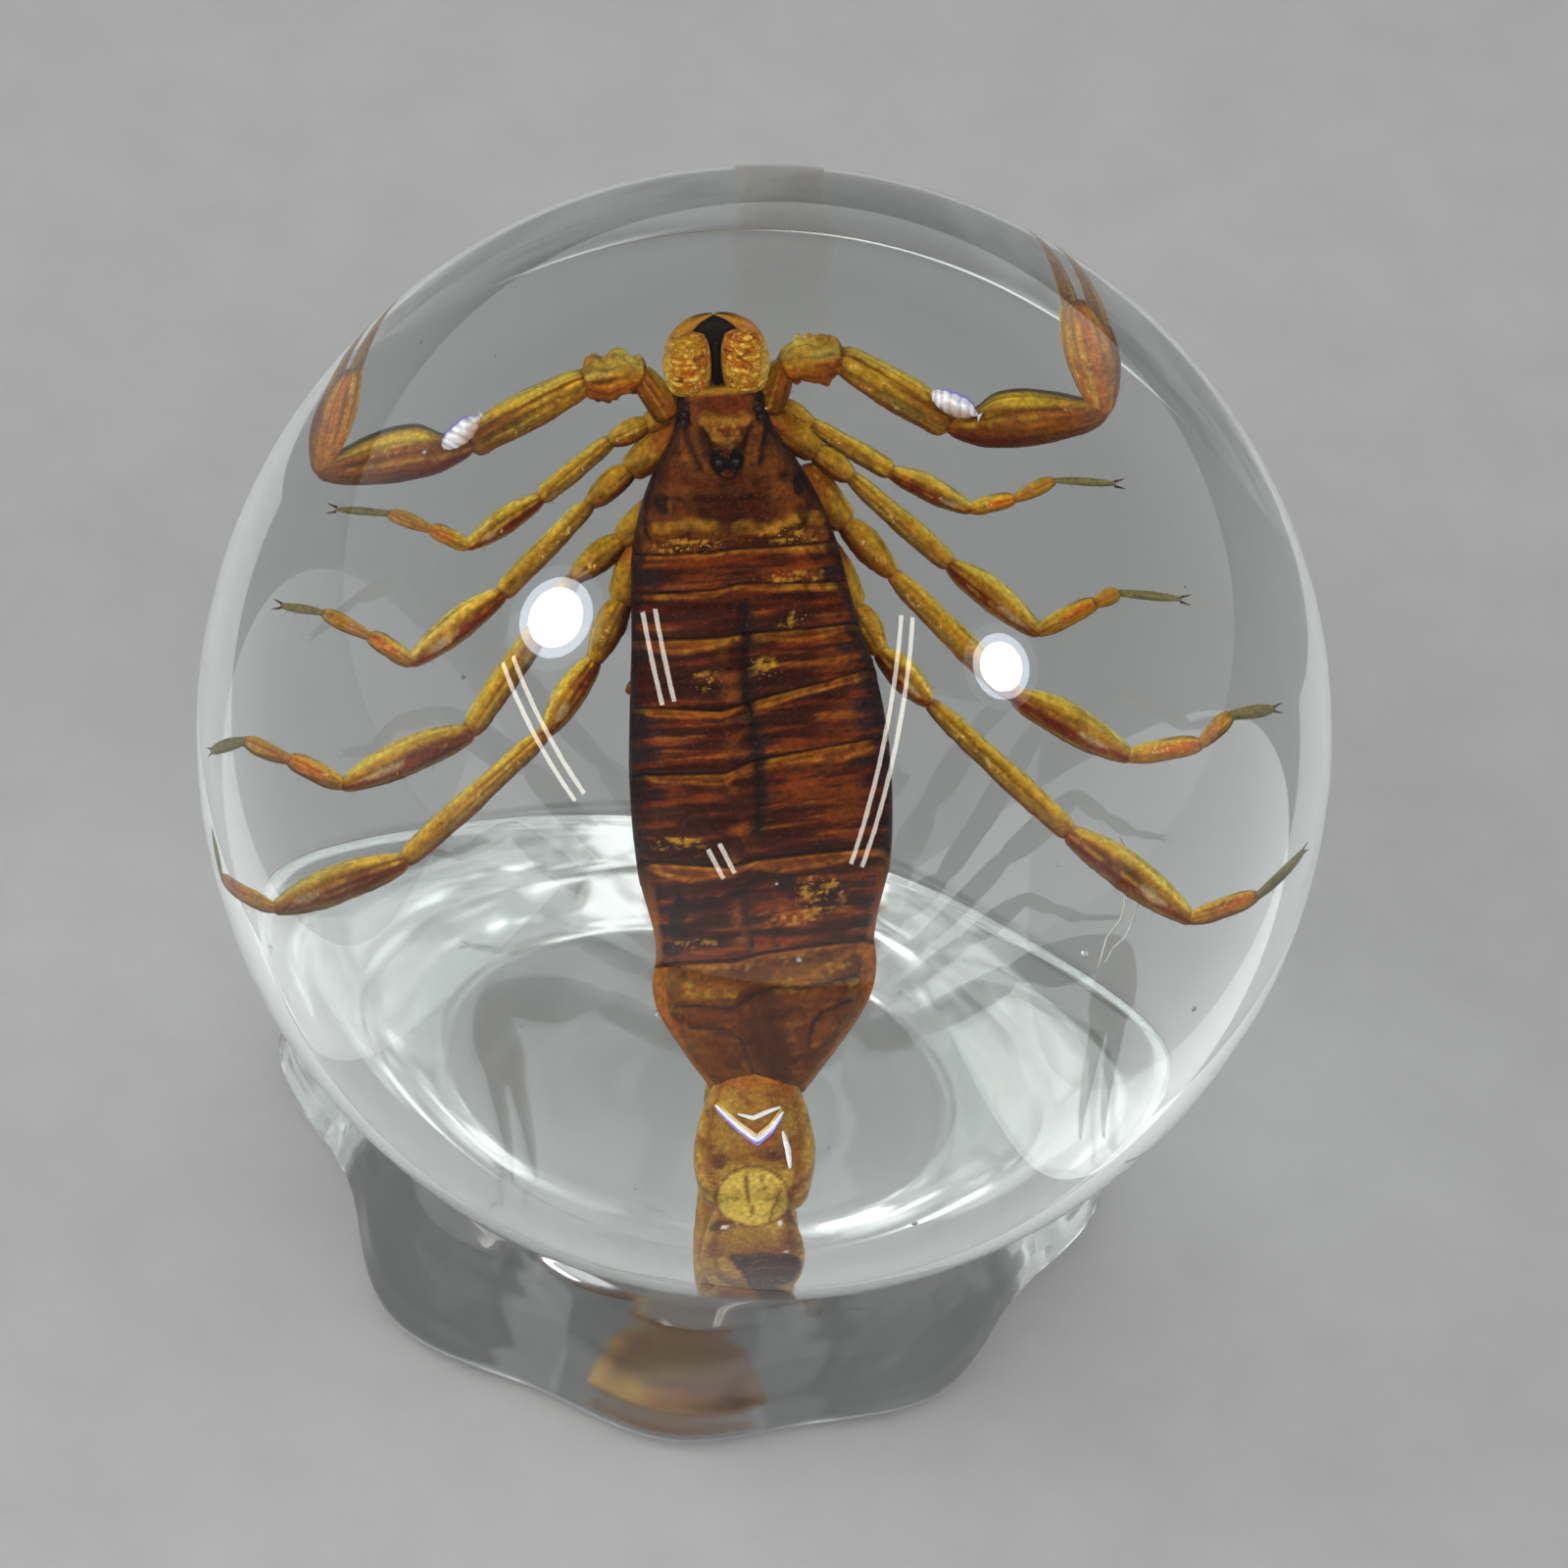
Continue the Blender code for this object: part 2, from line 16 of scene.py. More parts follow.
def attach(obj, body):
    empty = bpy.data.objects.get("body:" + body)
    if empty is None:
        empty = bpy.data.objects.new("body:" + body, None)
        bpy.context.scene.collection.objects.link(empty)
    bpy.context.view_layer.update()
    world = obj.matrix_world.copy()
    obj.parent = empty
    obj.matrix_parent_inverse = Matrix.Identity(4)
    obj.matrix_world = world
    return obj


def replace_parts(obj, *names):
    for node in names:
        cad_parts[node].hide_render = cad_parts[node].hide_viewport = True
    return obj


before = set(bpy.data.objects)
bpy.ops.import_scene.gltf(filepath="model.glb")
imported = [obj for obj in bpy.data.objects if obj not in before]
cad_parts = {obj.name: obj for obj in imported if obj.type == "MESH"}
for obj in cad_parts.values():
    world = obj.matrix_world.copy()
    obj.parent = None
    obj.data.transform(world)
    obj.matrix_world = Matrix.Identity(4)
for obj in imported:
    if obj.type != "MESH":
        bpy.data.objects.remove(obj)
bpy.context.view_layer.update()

MM = 0.001

# Globe, stand and pose, as in the solids
GLOBE_RADIUS = 30.0
GLOBE_LIFT = 3.0
BACK_LEAN = 42.0
HEAD_TURN = 14.1
SEAT_GAP = 0.3
SEAT_RADIUS = 16.0
SEAT_INWARD = 2.6
SEAT_OUTWARD = 2.0
HOLE_RADIUS = 10.5
HOLE_LIP = (11.8, 3.6)
SEAT_POINTS = (SEAT_OUTWARD, 0.6, -1.0, -SEAT_INWARD)     # lengths outward along the seat
LOBE_AZIMUTHS = (-177.0, -124.0, -84.0, -48.0, -3.0, 43.0, 90.0, 136.0)
EVEN_LOBE_SPACING = 45.0
VALLEY_DEPTH = 1.75
VALLEY_GROWTH = 3               # power of the spacing with which a valley gets deeper
# Outer wall at a lobe's tip, bottom to top: radius, height, share of the valley's depth
STAND_WALL = ((21.8, 0.0, 0.8), (23.0, 0.5, 0.95), (23.6, 1.6, 1.0), (23.2, 3.4, 0.95),
              (22.0, 5.6, 0.8), (20.7, 7.6, 0.6), (19.6, 8.8, 0.35), (18.7, 9.1, 0.15))
STAND_STEPS = 480
STAND_ROWS = 180
PROFILE_STEPS = 3600            # of the stand's profile before its corners are eased
EASED_STEPS = 103               # over which a corner is eased

# Trunk, by distance headward along the body
TRUNK_FRONT = 12.7
TRUNK_REAR = -12.9
TRUNK_HALF_WIDTH = ((12.7, 1.4), (12.3, 1.55), (11.5, 1.66), (10.9, 1.85), (9.9, 2.42),
                    (8.8, 2.98), (7.6, 3.42), (6.7, 3.65), (3.6, 4.1), (1.3, 4.45),
                    (-2.0, 4.7), (-4.8, 4.55), (-7.9, 3.95), (-8.5, 4.05), (-9.6, 3.9),
                    (-11.2, 2.9), (-12.9, 1.65))
TRUNK_MIDLINE = ((12.7, -0.95), (6.7, -0.72), (1.0, -0.3), (-7.0, -0.35), (-12.9, -0.85))
TRUNK_BACK = ((12.7, 1.7), (11.5, 2.2), (6.7, 2.5), (-2.0, 2.7), (-9.6, 2.3), (-12.9, 1.6))
TRUNK_BELLY = ((12.7, -0.7), (10.5, -1.7), (-2.0, -2.1), (-9.6, -1.7), (-12.9, -1.3))
TRUNK_EDGE = 0.5
PLATE_REAR_EDGES = (6.7, 5.3, 3.6, 1.3, -1.3, -4.8, -8.1)
PLATE_LEDGE = 0.34
SQUARENESS = 0.8
TRUNK_COLUMNS = 200
ROW_STEP = 0.085
LEDGE_ROWS = (0.0, 0.03, 0.07, 0.12, 0.18)
# How far headward each rear edge runs from straight across, at these distances to the right
SHIFT_STATIONS = (-4.6, -1.6, -0.5, 4.2)
EDGE_SHIFTS = ((0.0, 0.05, 0.1, 0.1), (0.0, 0.05, 0.25, 0.0), (0.05, 0.0, 0.1, 0.2),
               (-0.1, -0.4, -0.1, 0.85), (0.05, -0.05, 0.35, 0.95), (0.4, 0.0, 0.25, 0.5),
               (-0.05, -0.15, 0.1, 0.5))
# Golden skin showing behind each rear edge: width, strength left and right of the midline
EDGE_BANDS = ((0.24, 0.8, 0.9), (0.3, 0.8, 0.85), (0.42, 1.0, 0.75), (0.42, 0.95, 0.9),
              (0.48, 0.6, 0.95), (0.5, 1.0, 0.8), (1.3, 0.9, 1.0))
BAND_LOBES = ((-2.9, 1.9), (1.9, 2.9))      # middle and half length of a band's two lobes
BELLY_REAR_EDGES = (3.2, 0.6, -2.2, -5.2, -8.4)

EYE_MOUND = (-0.83, 10.0, 2.35)
EYE_MOUND_SIZE = (0.62, 0.56, 0.5)
MEDIAN_EYES = ((-1.14, 10.08, 2.72), (-0.52, 10.08, 2.72))
MEDIAN_EYE_RADIUS = 0.16
LATERAL_EYES = ((-2.2, 12.1, 1.95), (-2.3, 11.85, 1.9), (-2.34, 11.58, 1.86),
                (0.34, 12.15, 1.95), (0.42, 11.9, 1.9), (0.48, 11.62, 1.86))
LATERAL_EYE_RADIUS = 0.1
EYE_PATCH = ((-1.2, 10.12, 0.3, 0.42), (-0.47, 10.14, 0.3, 0.44), (-0.84, 9.8, 0.42, 0.5))
EYE_PATCH_NOTCH = ((-0.82, 10.62, 0.2, 0.34),)
EYE_PATCH_KNOB = ((-0.85, 9.58, 0.23, 0.24),)
BLACK_SPOTS = ((-3.3, 8.55, 0.26, 0.4), (1.74, 8.95, 0.24, 0.42), (0.56, -5.45, 0.42, 0.3),
               (-3.6, -6.5, 0.3, 0.9), (-2.33, 11.9, 0.3, 0.6), (0.5, 11.9, 0.3, 0.6))
GLINT_PATCHES = ((1.2, 5.65, 1.3, 0.32), (0.15, 2.4, 0.6, 0.42), (1.3, 4.0, 0.6, 0.3),
                 (-2.1, 1.95, 0.6, 0.35), (-3.4, -3.95, 0.9, 0.32), (0.75, -6.75, 0.8, 0.4),
                 (1.8, -6.0, 0.9, 0.7), (-3.0, -7.5, 0.7, 0.12), (-2.6, 7.0, 1.3, 0.25),
                 (1.4, 7.2, 1.2, 0.3), (-0.85, 11.3, 0.6, 0.35))
CARAPACE_FRONT_PATCH = ((-0.85, 11.9, 1.1, 0.8),)
CARAPACE_LINES = (((-2.45, 11.45), (-2.25, 10.7), (-1.9, 9.8)),
                  ((0.8, 11.75), (0.78, 11.0), (0.47, 9.9)),
                  ((-1.7, 11.2), (-1.45, 10.5)), ((0.1, 11.2), (-0.1, 10.5)))
CARAPACE_PALE_LINES = (((-1.6, 11.65), (-1.2, 11.0), (-0.83, 10.65), (-0.4, 11.0),
                        (0.05, 11.65), (-0.8, 11.5), (-1.6, 11.65)),
                       ((-3.8, 7.55), (-2.35, 7.75), (-1.4, 7.6)),
                       ((-0.5, 7.55), (0.6, 7.35), (1.5, 7.75), (2.5, 7.7)))
REAR_PLATE_LINES = (((-4.0, -9.75), (-2.9, -9.85), (-1.9, -10.05), (-1.0, -9.6), (-0.15, -9.3),
                     (1.0, -9.4), (2.0, -9.3), (3.4, -8.9)),
                    ((-3.4, -10.6), (-2.2, -10.75), (-1.5, -11.2), (-0.95, -12.8)),
                    ((1.1, -11.4), (1.3, -10.7), (1.7, -10.35), (2.8, -9.85)))
REAR_SHADE = (((-0.8, -9.6), (-0.4, -12.6)),)
MIDLINE_CREASE = ((-0.45, 4.6), (-0.5, 3.0), (-0.55, 1.2), (-0.3, -0.2), (-0.25, -2.4),
                  (-0.45, -3.6))
SIDE_CREASES = (((-1.15, -5.6), (-1.0, -6.6), (-0.9, -7.9)), ((-0.1, -6.0), (0.05, -8.0)),
                ((-3.6, -6.0), (-2.0, -5.95), (-1.2, -5.6), (0.3, -5.0)),
                ((-3.4, -7.3), (-2.4, -7.55), (-1.4, -7.3)))

# Chelicerae
CHELICERA_MIDLINE = -1.03
CHELICERA_OFFSET = 1.05
CHELICERA_CENTRE_Y = 13.65
CHELICERA_HEIGHT = 0.9
CHELICERA_SIZE = (0.88, 1.25, 1.05)
CHELICERA_SLIT = 0.17           # half width of the gap between the two
CHELICERA_FINGER_START = (1.42, 14.5)
CHELICERA_FINGER_LENGTH = 1.85
CHELICERA_FINGER_HALF_WIDTH = 0.36
CHELICERA_FINGER_HEADING = 112.0
CHELICERA_FINGER_BEND = 62.0
CHELICERA_FULLNESS = 0.62       # power of the girth along its length, and of its inner side
CHELICERA_INNER_FULLNESS = 0.7
CHELICERA_SQUARENESS = 0.9
# Dark bodies of painted shade that close the gap in front and between the two: centre's y, its z,
# half sizes
# CHELICERA_SHADES = ((14.75, 0.55, (1.3, 0.7, 0.45)), (13.8, 0.45, (0.29, 1.1875, 0.6)))
CHELICERA_SHADES = ((14.75, 0.55, (1.3, 0.7, 0.45)), (13.8, 0.45, (0.29, 1.1875, 0.6)))

# Limbs.  A heading is measured from straight outward towards the head.
SIDES = {"left": -1.0, "right": 1.0}
LEG_SEGMENTS = ("coxa", "trochanter", "femur", "patella", "tibia", "basitarsus", "telotarsus")
LAST_LEG_SEGMENTS = ("coxa", "trochanter", "patella", "femur", "patella", "tibia", "telotarsus")
COXA_LENGTH = 2.3
LEG_HALF_WIDTHS = {1: (0.62, 0.4, 0.36, 0.42, 0.3, 0.25, 0.16),
                   2: (0.68, 0.46, 0.39, 0.51, 0.34, 0.27, 0.17),
                   3: (0.72, 0.5, 0.45, 0.6, 0.38, 0.31, 0.26),
                   4: (0.8, 0.52, 0.5, 0.42, 0.62, 0.38, 0.27)}
LEG_TALLNESS = 1.15
LEG_START_HEIGHT = -0.4
LEG_SLOPES = (4.0, 3.0, 6.0, 8.0, 8.0, 8.0)
LEG_LENGTHS = {("left", 1): (1.5, 3.2, 3.1, 1.5, 1.7, 2.1),
               ("left", 2): (1.9, 4.5, 4.0, 1.8, 2.0, 1.8),
               ("left", 3): (2.2, 6.6, 5.0, 2.3, 2.2, 2.3),
               ("left", 4): (2.4, 3.1, 6.8, 5.6, 3.7, 1.8),
               ("right", 1): (1.6, 3.3, 3.1, 1.6, 1.6, 2.2),
               ("right", 2): (1.6, 4.7, 3.9, 2.3, 0.9, 2.3),
               ("right", 3): (2.5, 6.1, 4.6, 2.7, 1.6, 1.9),
               ("right", 4): (1.9, 2.5, 6.8, 5.4, 2.9, 3.0)}
LEG_HIPS = {("left", 1): (-3.5, 11.2), ("left", 2): (-4.2, 9.6),
            ("left", 3): (-4.6, 7.1), ("left", 4): (-4.7, 5.0),
            ("right", 1): (0.9, 11.7), ("right", 2): (2.3, 9.9),
            ("right", 3): (3.2, 7.3), ("right", 4): (3.3, 4.3)}
LEG_HEADINGS = {("left", 1): (-21, -37, -31, 28, 24, 10),
                ("left", 2): (-37, -43, -34, 34, 29, 14),
                ("left", 3): (-35, -53, -19, 26, 21, -7),
                ("left", 4): (-62, -53, -39, -17, 14, 92),
                ("right", 1): (-32, -35, -29, 10, 22, -5),
                ("right", 2): (-40, -45, -41, 24, 20, -8),
                ("right", 3): (-51, -48, -31, 6, 38, 4),
                ("right", 4): (-62, -49, -46, -38, 10, 27)}
PALP_SEGMENTS = ("palp_coxa", "palp_trochanter", "palp_femur", "palp_patella", "hand")
PALP_HALF_WIDTHS = (0.6, 0.75, 0.66, 1.0, 1.17)
PALP_LENGTHS = {"left": (1.9, 2.0, 4.8, 6.0, 4.1), "right": (1.8, 2.0, 4.7, 5.7, 4.4)}
PALP_SLOPES = (3.0, 3.0, 7.0, 7.0, 3.0)
PALP_STARTS = {"left": (-2.8, 11.6), "right": (0.75, 11.6)}
PALP_START_HEIGHT = 0.2
PALP_HEADINGS = {"left": (60, -4, -26, -2, 95), "right": (68, 4, -36, 4, 90)}
CLAW_FINGER_LENGTH = 7.6
CLAW_FINGER_HALF_WIDTH = 0.48
CLAW_FINGER_OVERLAP = 0.7
CLAW_FINGER_FLATNESS = 0.9
# Root's offset outward from the hand's axis, heading from the hand's own, and bend
CLAW_FINGERS = {"inner": (-0.5, -1.0, -6.0), "outer": (0.66, -4.0, -2.0)}
JOINT_OVERLAP = 0.3             # of a segment's half width, past each joint

# Outlines of the segments: share of the length, reach headward and tailward, height
SHAPES = {
    "coxa": ((0.0, 0.9, 0.9, 0.9), (0.5, 1.0, 1.0, 1.0), (1.0, 0.7, 0.7, 0.8)),
    "trochanter": ((0.0, 0.5, 0.55, 0.6), (0.3, 1.1, 0.95, 1.0), (0.7, 1.0, 0.9, 0.95),
                   (1.0, 0.5, 0.45, 0.6)),
    "femur": ((0.0, 0.55, 0.55, 0.6), (0.1, 0.85, 0.8, 0.85), (0.3, 0.95, 0.95, 1.0),
              (0.8, 1.08, 0.98, 1.0), (0.94, 0.95, 0.85, 0.85), (1.0, 0.6, 0.55, 0.55)),
    "patella": ((0.0, 0.45, 0.45, 0.5), (0.1, 0.75, 0.7, 0.8), (0.35, 1.2, 0.95, 1.0),
                (0.6, 1.15, 1.0, 1.0), (0.85, 0.78, 0.7, 0.85), (1.0, 0.38, 0.38, 0.5)),
    "tibia": ((0.0, 0.5, 0.5, 0.6), (0.2, 0.95, 0.9, 1.0), (0.5, 1.1, 0.95, 1.0),
              (0.9, 0.85, 0.75, 0.85), (1.0, 0.5, 0.5, 0.6)),
    "basitarsus": ((0.0, 0.6, 0.6, 0.65), (0.3, 0.95, 0.95, 1.0), (0.85, 0.95, 0.85, 0.9),
                   (1.0, 0.5, 0.5, 0.5)),
    "telotarsus": ((0.0, 0.6, 0.6, 0.7), (0.4, 1.0, 0.85, 1.0), (0.75, 0.9, 0.8, 0.8),
                   (1.0, 0.5, 0.4, 0.5)),
    "palp_coxa": ((0.0, 0.9, 0.9, 0.9), (0.6, 0.9, 0.9, 1.0), (1.0, 0.6, 0.6, 0.7)),
    "palp_trochanter": ((0.0, 0.55, 0.5, 0.7), (0.2, 0.75, 0.7, 0.9), (0.42, 1.15, 0.85, 1.0),
                        (0.62, 0.9, 1.15, 1.0), (0.82, 1.05, 0.85, 0.9), (1.0, 0.5, 0.5, 0.6)),
    "palp_femur": ((0.0, 0.5, 0.5, 0.6), (0.08, 0.85, 0.8, 0.85), (0.25, 1.02, 1.0, 1.0),
                   (0.8, 1.05, 1.02, 1.0), (0.94, 0.85, 0.9, 0.85), (1.0, 0.45, 0.5, 0.6)),
    "palp_patella": ((0.0, 0.15, 0.35, 0.5), (0.08, 0.2, 0.62, 0.65), (0.2, 0.46, 0.95, 0.85),
                     (0.33, 0.92, 1.1, 0.95), (0.47, 1.0, 1.15, 1.0), (0.66, 0.8, 1.05, 0.95),
                     (0.85, 0.42, 0.82, 0.8), (1.0, 0.2, 0.4, 0.5)),
    "hand": ((0.0, 0.3, 0.3, 0.4), (0.12, 0.52, 0.5, 0.6), (0.35, 0.88, 0.85, 0.9),
             (0.6, 1.02, 0.98, 1.0), (0.85, 0.86, 0.82, 0.8), (1.0, 0.62, 0.55, 0.6)),
    "tail": ((0.0, 0.55, 0.55, 0.6), (0.08, 0.66, 0.66, 0.86), (0.22, 0.84, 0.84, 1.0),
             (0.45, 1.03, 1.03, 1.0), (0.75, 1.0, 1.0, 1.0), (0.92, 0.82, 0.82, 0.95),
             (1.0, 0.6, 0.6, 0.6)),
    "bulb": ((0.0, 0.35, 0.35, 0.4), (0.2, 0.8, 0.8, 0.85), (0.5, 1.0, 1.0, 1.05),
             (0.8, 0.75, 0.75, 0.8), (1.0, 0.35, 0.35, 0.35)),
}
# Named skin colours, as linear red, green and blue
WINE = np.array((0.12, 0.014, 0.002))
UMBER = np.array((0.09, 0.028, 0.003))
RUST = np.array((0.20, 0.056, 0.003))
BRONZE = np.array((0.27, 0.115, 0.008))
STRAW = np.array((0.42, 0.195, 0.010))
BRASS = np.array((0.60, 0.35, 0.018))
# Bright straw of a segment's rim: partly the skin's colour, partly a painted rim highlight
STRAW_RIM_HIGHLIGHT = np.array((0.70, 0.54, 0.09))
DULL_OLIVE = np.array((0.19, 0.125, 0.025))
FLAME = np.array((0.48, 0.115, 0.004))
# Colours across a segment, from tailward (-1) to headward (1): at its root, then at its tip. The
# bright straw on the headward rim is partly the skin's colour and partly a painted rim highlight.
BANDS = {
    "plain": (((-1.0, UMBER), (-0.8, RUST), (-0.3, BRONZE), (0.3, STRAW), (0.7, BRASS),
               (1.0, STRAW_RIM_HIGHLIGHT)),
              ((-1.0, RUST), (-0.6, BRONZE), (0.2, STRAW), (0.8, BRASS), (1.0, STRAW_RIM_HIGHLIGHT))),
    "coxa": (((-1.0, UMBER), (-0.6, FLAME * 0.6), (0.0, FLAME * 0.8), (0.6, FLAME * 0.6),
              (1.0, RUST)),
             ((-1.0, UMBER), (-0.5, RUST), (0.0, BRONZE * 0.8), (0.5, STRAW * 0.8),
              (1.0, BRASS * 0.9))),
    "trochanter": (((-1.0, UMBER), (-0.6, WINE), (-0.2, BRONZE * 0.8), (0.4, STRAW * 0.9),
                    (1.0, BRASS * 0.8)),
                   ((-1.0, UMBER), (-0.5, RUST), (0.1, BRONZE), (0.6, STRAW),
                    (1.0, STRAW_RIM_HIGHLIGHT * 0.8))),
    "femur": (((-1.0, UMBER), (-0.8, RUST), (-0.5, DULL_OLIVE), (-0.1, BRONZE), (0.1, STRAW),
               (0.4, BRONZE), (0.55, BRASS), (1.0, STRAW_RIM_HIGHLIGHT)),
              ((-1.0, RUST), (-0.75, RUST), (-0.45, DULL_OLIVE), (0.0, BRONZE), (0.35, STRAW),
               (0.6, BRASS * 0.85), (1.0, STRAW_RIM_HIGHLIGHT))),
    "patella": (((-1.0, RUST), (-0.75, DULL_OLIVE), (-0.6, WINE), (-0.05, WINE), (0.08, RUST),
                 (0.18, STRAW), (0.26, RUST), (0.4, BRONZE), (0.58, BRASS), (1.0, STRAW_RIM_HIGHLIGHT)),
                ((-1.0, RUST), (-0.75, DULL_OLIVE * 1.2), (-0.5, WINE * 1.3), (-0.1, WINE * 1.5),
                 (0.1, BRONZE), (0.5, STRAW), (0.72, STRAW_RIM_HIGHLIGHT), (1.0, STRAW_RIM_HIGHLIGHT))),
    "tibia": (((-1.0, RUST), (-0.7, STRAW), (-0.3, BRONZE), (0.2, STRAW), (0.55, BRASS),
               (1.0, STRAW_RIM_HIGHLIGHT)),
              ((-1.0, RUST), (-0.7, STRAW), (-0.3, FLAME), (0.3, FLAME), (0.6, BRASS),
               (1.0, DULL_OLIVE))),
    "basitarsus": (((-1.0, RUST), (-0.6, STRAW), (0.0, FLAME), (0.4, STRAW), (1.0, BRASS)),
                   ((-1.0, RUST), (-0.5, BRASS), (0.0, FLAME), (0.4, STRAW), (1.0, BRASS))),
    "palp_trochanter": (((-1.0, RUST), (-0.4, FLAME * 0.9), (0.2, STRAW), (1.0, STRAW_RIM_HIGHLIGHT * 0.8)),
                        ((-1.0, RUST), (0.0, FLAME * 0.7), (0.4, STRAW_RIM_HIGHLIGHT * 0.7), (1.0, STRAW))),
    "palp_coxa": (((-1.0, UMBER), (-0.3, RUST), (0.3, FLAME * 0.7), (1.0, STRAW)),
                  ((-1.0, RUST), (0.0, FLAME * 0.7), (0.6, STRAW), (1.0, BRASS))),
    "palp_femur": (((-1.0, WINE), (-0.85, RUST), (-0.6, BRONZE), (-0.1, BRONZE), (0.1, STRAW),
                    (0.32, BRASS), (0.42, RUST), (0.52, RUST), (0.62, BRASS), (1.0, STRAW_RIM_HIGHLIGHT)),
                   ((-1.0, WINE), (-0.8, RUST), (-0.5, BRONZE * 0.9), (0.1, BRONZE),
                    (0.3, RUST), (0.45, RUST), (0.6, STRAW), (0.85, BRASS),
                    (1.0, STRAW_RIM_HIGHLIGHT))),
    "palp_patella": (((-1.0, WINE * 0.7), (-0.6, WINE), (-0.2, RUST), (0.2, RUST),
                      (0.55, BRONZE), (0.75, BRASS), (1.0, DULL_OLIVE)),
                     ((-1.0, WINE * 0.7), (-0.75, UMBER * 1.5), (-0.4, RUST), (0.0, FLAME * 0.5),
                      (0.25, RUST), (0.5, BRONZE), (0.7, BRASS), (1.0, DULL_OLIVE * 0.7))),
    "hand": (((-1.0, RUST), (-0.8, STRAW), (-0.4, FLAME * 0.9), (0.1, STRAW), (0.4, FLAME),
              (0.8, STRAW), (1.0, RUST)),
             ((-1.0, RUST), (-0.7, STRAW * 1.2), (-0.2, FLAME), (0.2, STRAW * 1.1),
              (0.7, STRAW), (1.0, BRASS))),
}
# Stains inside the segments: middle across, middle along, half width, half length, colour,
# strength
STAINS = {
    "patella": ((-0.1, 0.7, 0.25, 0.14, (0.55, 0.45, 0.22), 0.5),),
    "tibia": ((-0.1, 0.55, 0.4, 0.2, (0.50, 0.09, 0.008), 0.7),),
    "palp_femur": ((-0.3, 0.6, 0.3, 0.22, (0.16, 0.11, 0.022), 0.6),),
    "palp_patella": ((-0.65, 0.14, 0.35, 0.14, (0.10, 0.012, 0.003), 0.9),
                     (0.0, 0.5, 0.25, 0.22, (0.42, 0.13, 0.010), 0.7),
                     (0.62, 0.48, 0.28, 0.22, (0.62, 0.42, 0.030), 0.8)),
    "hand": ((-0.35, 0.42, 0.12, 0.42, (0.55, 0.13, 0.02), 0.5),),
}
# Where painted sparkle highlights gather, glints of the air under the skin: middle across, middle
# along, half width, half length
SPARKLE_HIGHLIGHTS = {"femur": ((-0.15, 0.3, 0.35, 0.3),), "patella": ((-0.25, 0.6, 0.3, 0.12),),
          "palp_femur": ((0.15, 0.3, 0.3, 0.26), (-0.45, 0.5, 0.2, 0.3)),
          "palp_patella": ((0.2, 0.55, 0.15, 0.3),), "hand": ((0.2, 0.4, 0.5, 0.35),),
          "tibia": ((0.1, 0.4, 0.3, 0.2),), "trochanter": ((0.1, 0.6, 0.4, 0.3),)}
MOSSY = {"basitarsus": 0.15, "telotarsus": 0.85}
# Segments with a dark outline on the head side, and how much of their sides is flat
OUTLINED = {"palp_patella": 0.95, "palp_femur": 0.2, "femur": 0.1}
FLATNESS = {"femur": 0.86, "patella": 0.9, "palp_femur": 0.76, "palp_patella": 0.85,
            "palp_trochanter": 0.9, "hand": 0.95}
# Ridges: angle from headward over the back, height, width in degrees, length of one bump
FINE_KEELS = ((8.0, 0.03, 8.0, 0.24), (55.0, 0.04, 6.0, 0.22), (172.0, 0.02, 8.0, 0.24),
              (125.0, 0.03, 6.0, 0.22))
TAIL_KEELS = tuple((angle, 0.06, 6.0, 0.32) for angle in (62.0, 118.0, 20.0, 160.0, -30.0,
                                                          -150.0, -65.0, -115.0))
KNOBBLY = {"palp_trochanter": 0.34, "trochanter": 0.05, "hand": 0.02}

# Tail
TAIL_START = (-1.0, -12.5, 0.15)
TAIL_LENGTHS = (5.0, 4.9, 5.2, 5.9, 6.8)
TAIL_HALF_WIDTHS = (2.1, 1.9, 1.8, 1.65, 1.5)
TAIL_PITCHES = (0.0, 10.0, 72.0, 138.0, 180.0)
TAIL_TALLNESS = 0.8
TAIL_SQUARENESS = 0.85
TAIL_WINDOW_SEGMENTS = 3        # whose skin shows what lies under it
TAIL_LEAN = -1.2
TAIL_YAW = 4.0
VENOM_BULB_LENGTH = 3.4
VENOM_BULB_HALF_WIDTH = 1.35
VENOM_BULB_PITCH = 196.0
VENOM_BULB_OVERLAP = 0.6
STING_LENGTH = 3.2
STING_HALF_WIDTH = 0.42
STING_BEND = 65.0

# Combs on the belly
COMB_LENGTH = 4.4
COMB_HALF_WIDTH = 0.3
COMB_HEADING = -38.0
COMB_ROOT = (0.6, 4.4, -1.85)
COMB_TEETH = 17
COMB_TOOTH = (0.11, 0.5, 0.12)
COMB_TALLNESS = 0.8
COMB_TOOTH_OFFSET = 0.25
COMB_TOOTH_DROP = 0.1

# Rows along and columns round each kind of piece
LEG_GRID = (52, 32)
PALP_GRID = (96, 56)
TAIL_GRID = (90, 88)
BULB_GRID = (70, 56)
COMB_GRID = (40, 20)
COMB_TOOTH_GRID = (10, 10)
HORN_GRID = (40, 16)
CLAW_FINGER_GRID = (64, 24)
STING_GRID = (48, 20)
CHELICERA_GRID = (100, 96)
EYE_MOUND_GRID = (64, 80)
MEDIAN_EYE_GRID = (20, 24)
LATERAL_EYE_GRID = (16, 20)
AIR_POCKET_GRID = (72, 48)
BALL_GRID = (24, 32)
FILM_ROWS = 60
FILM_COLUMNS = 16

# Horns: how much of the girth the taper takes, its power, share of the length that rounds off
HORN_TAPER = 0.86
HORN_FULLNESS = 1.5
HORN_TIP = 0.03
POLE_MARGIN = 0.02              # radians that a ball's end rows keep from its poles

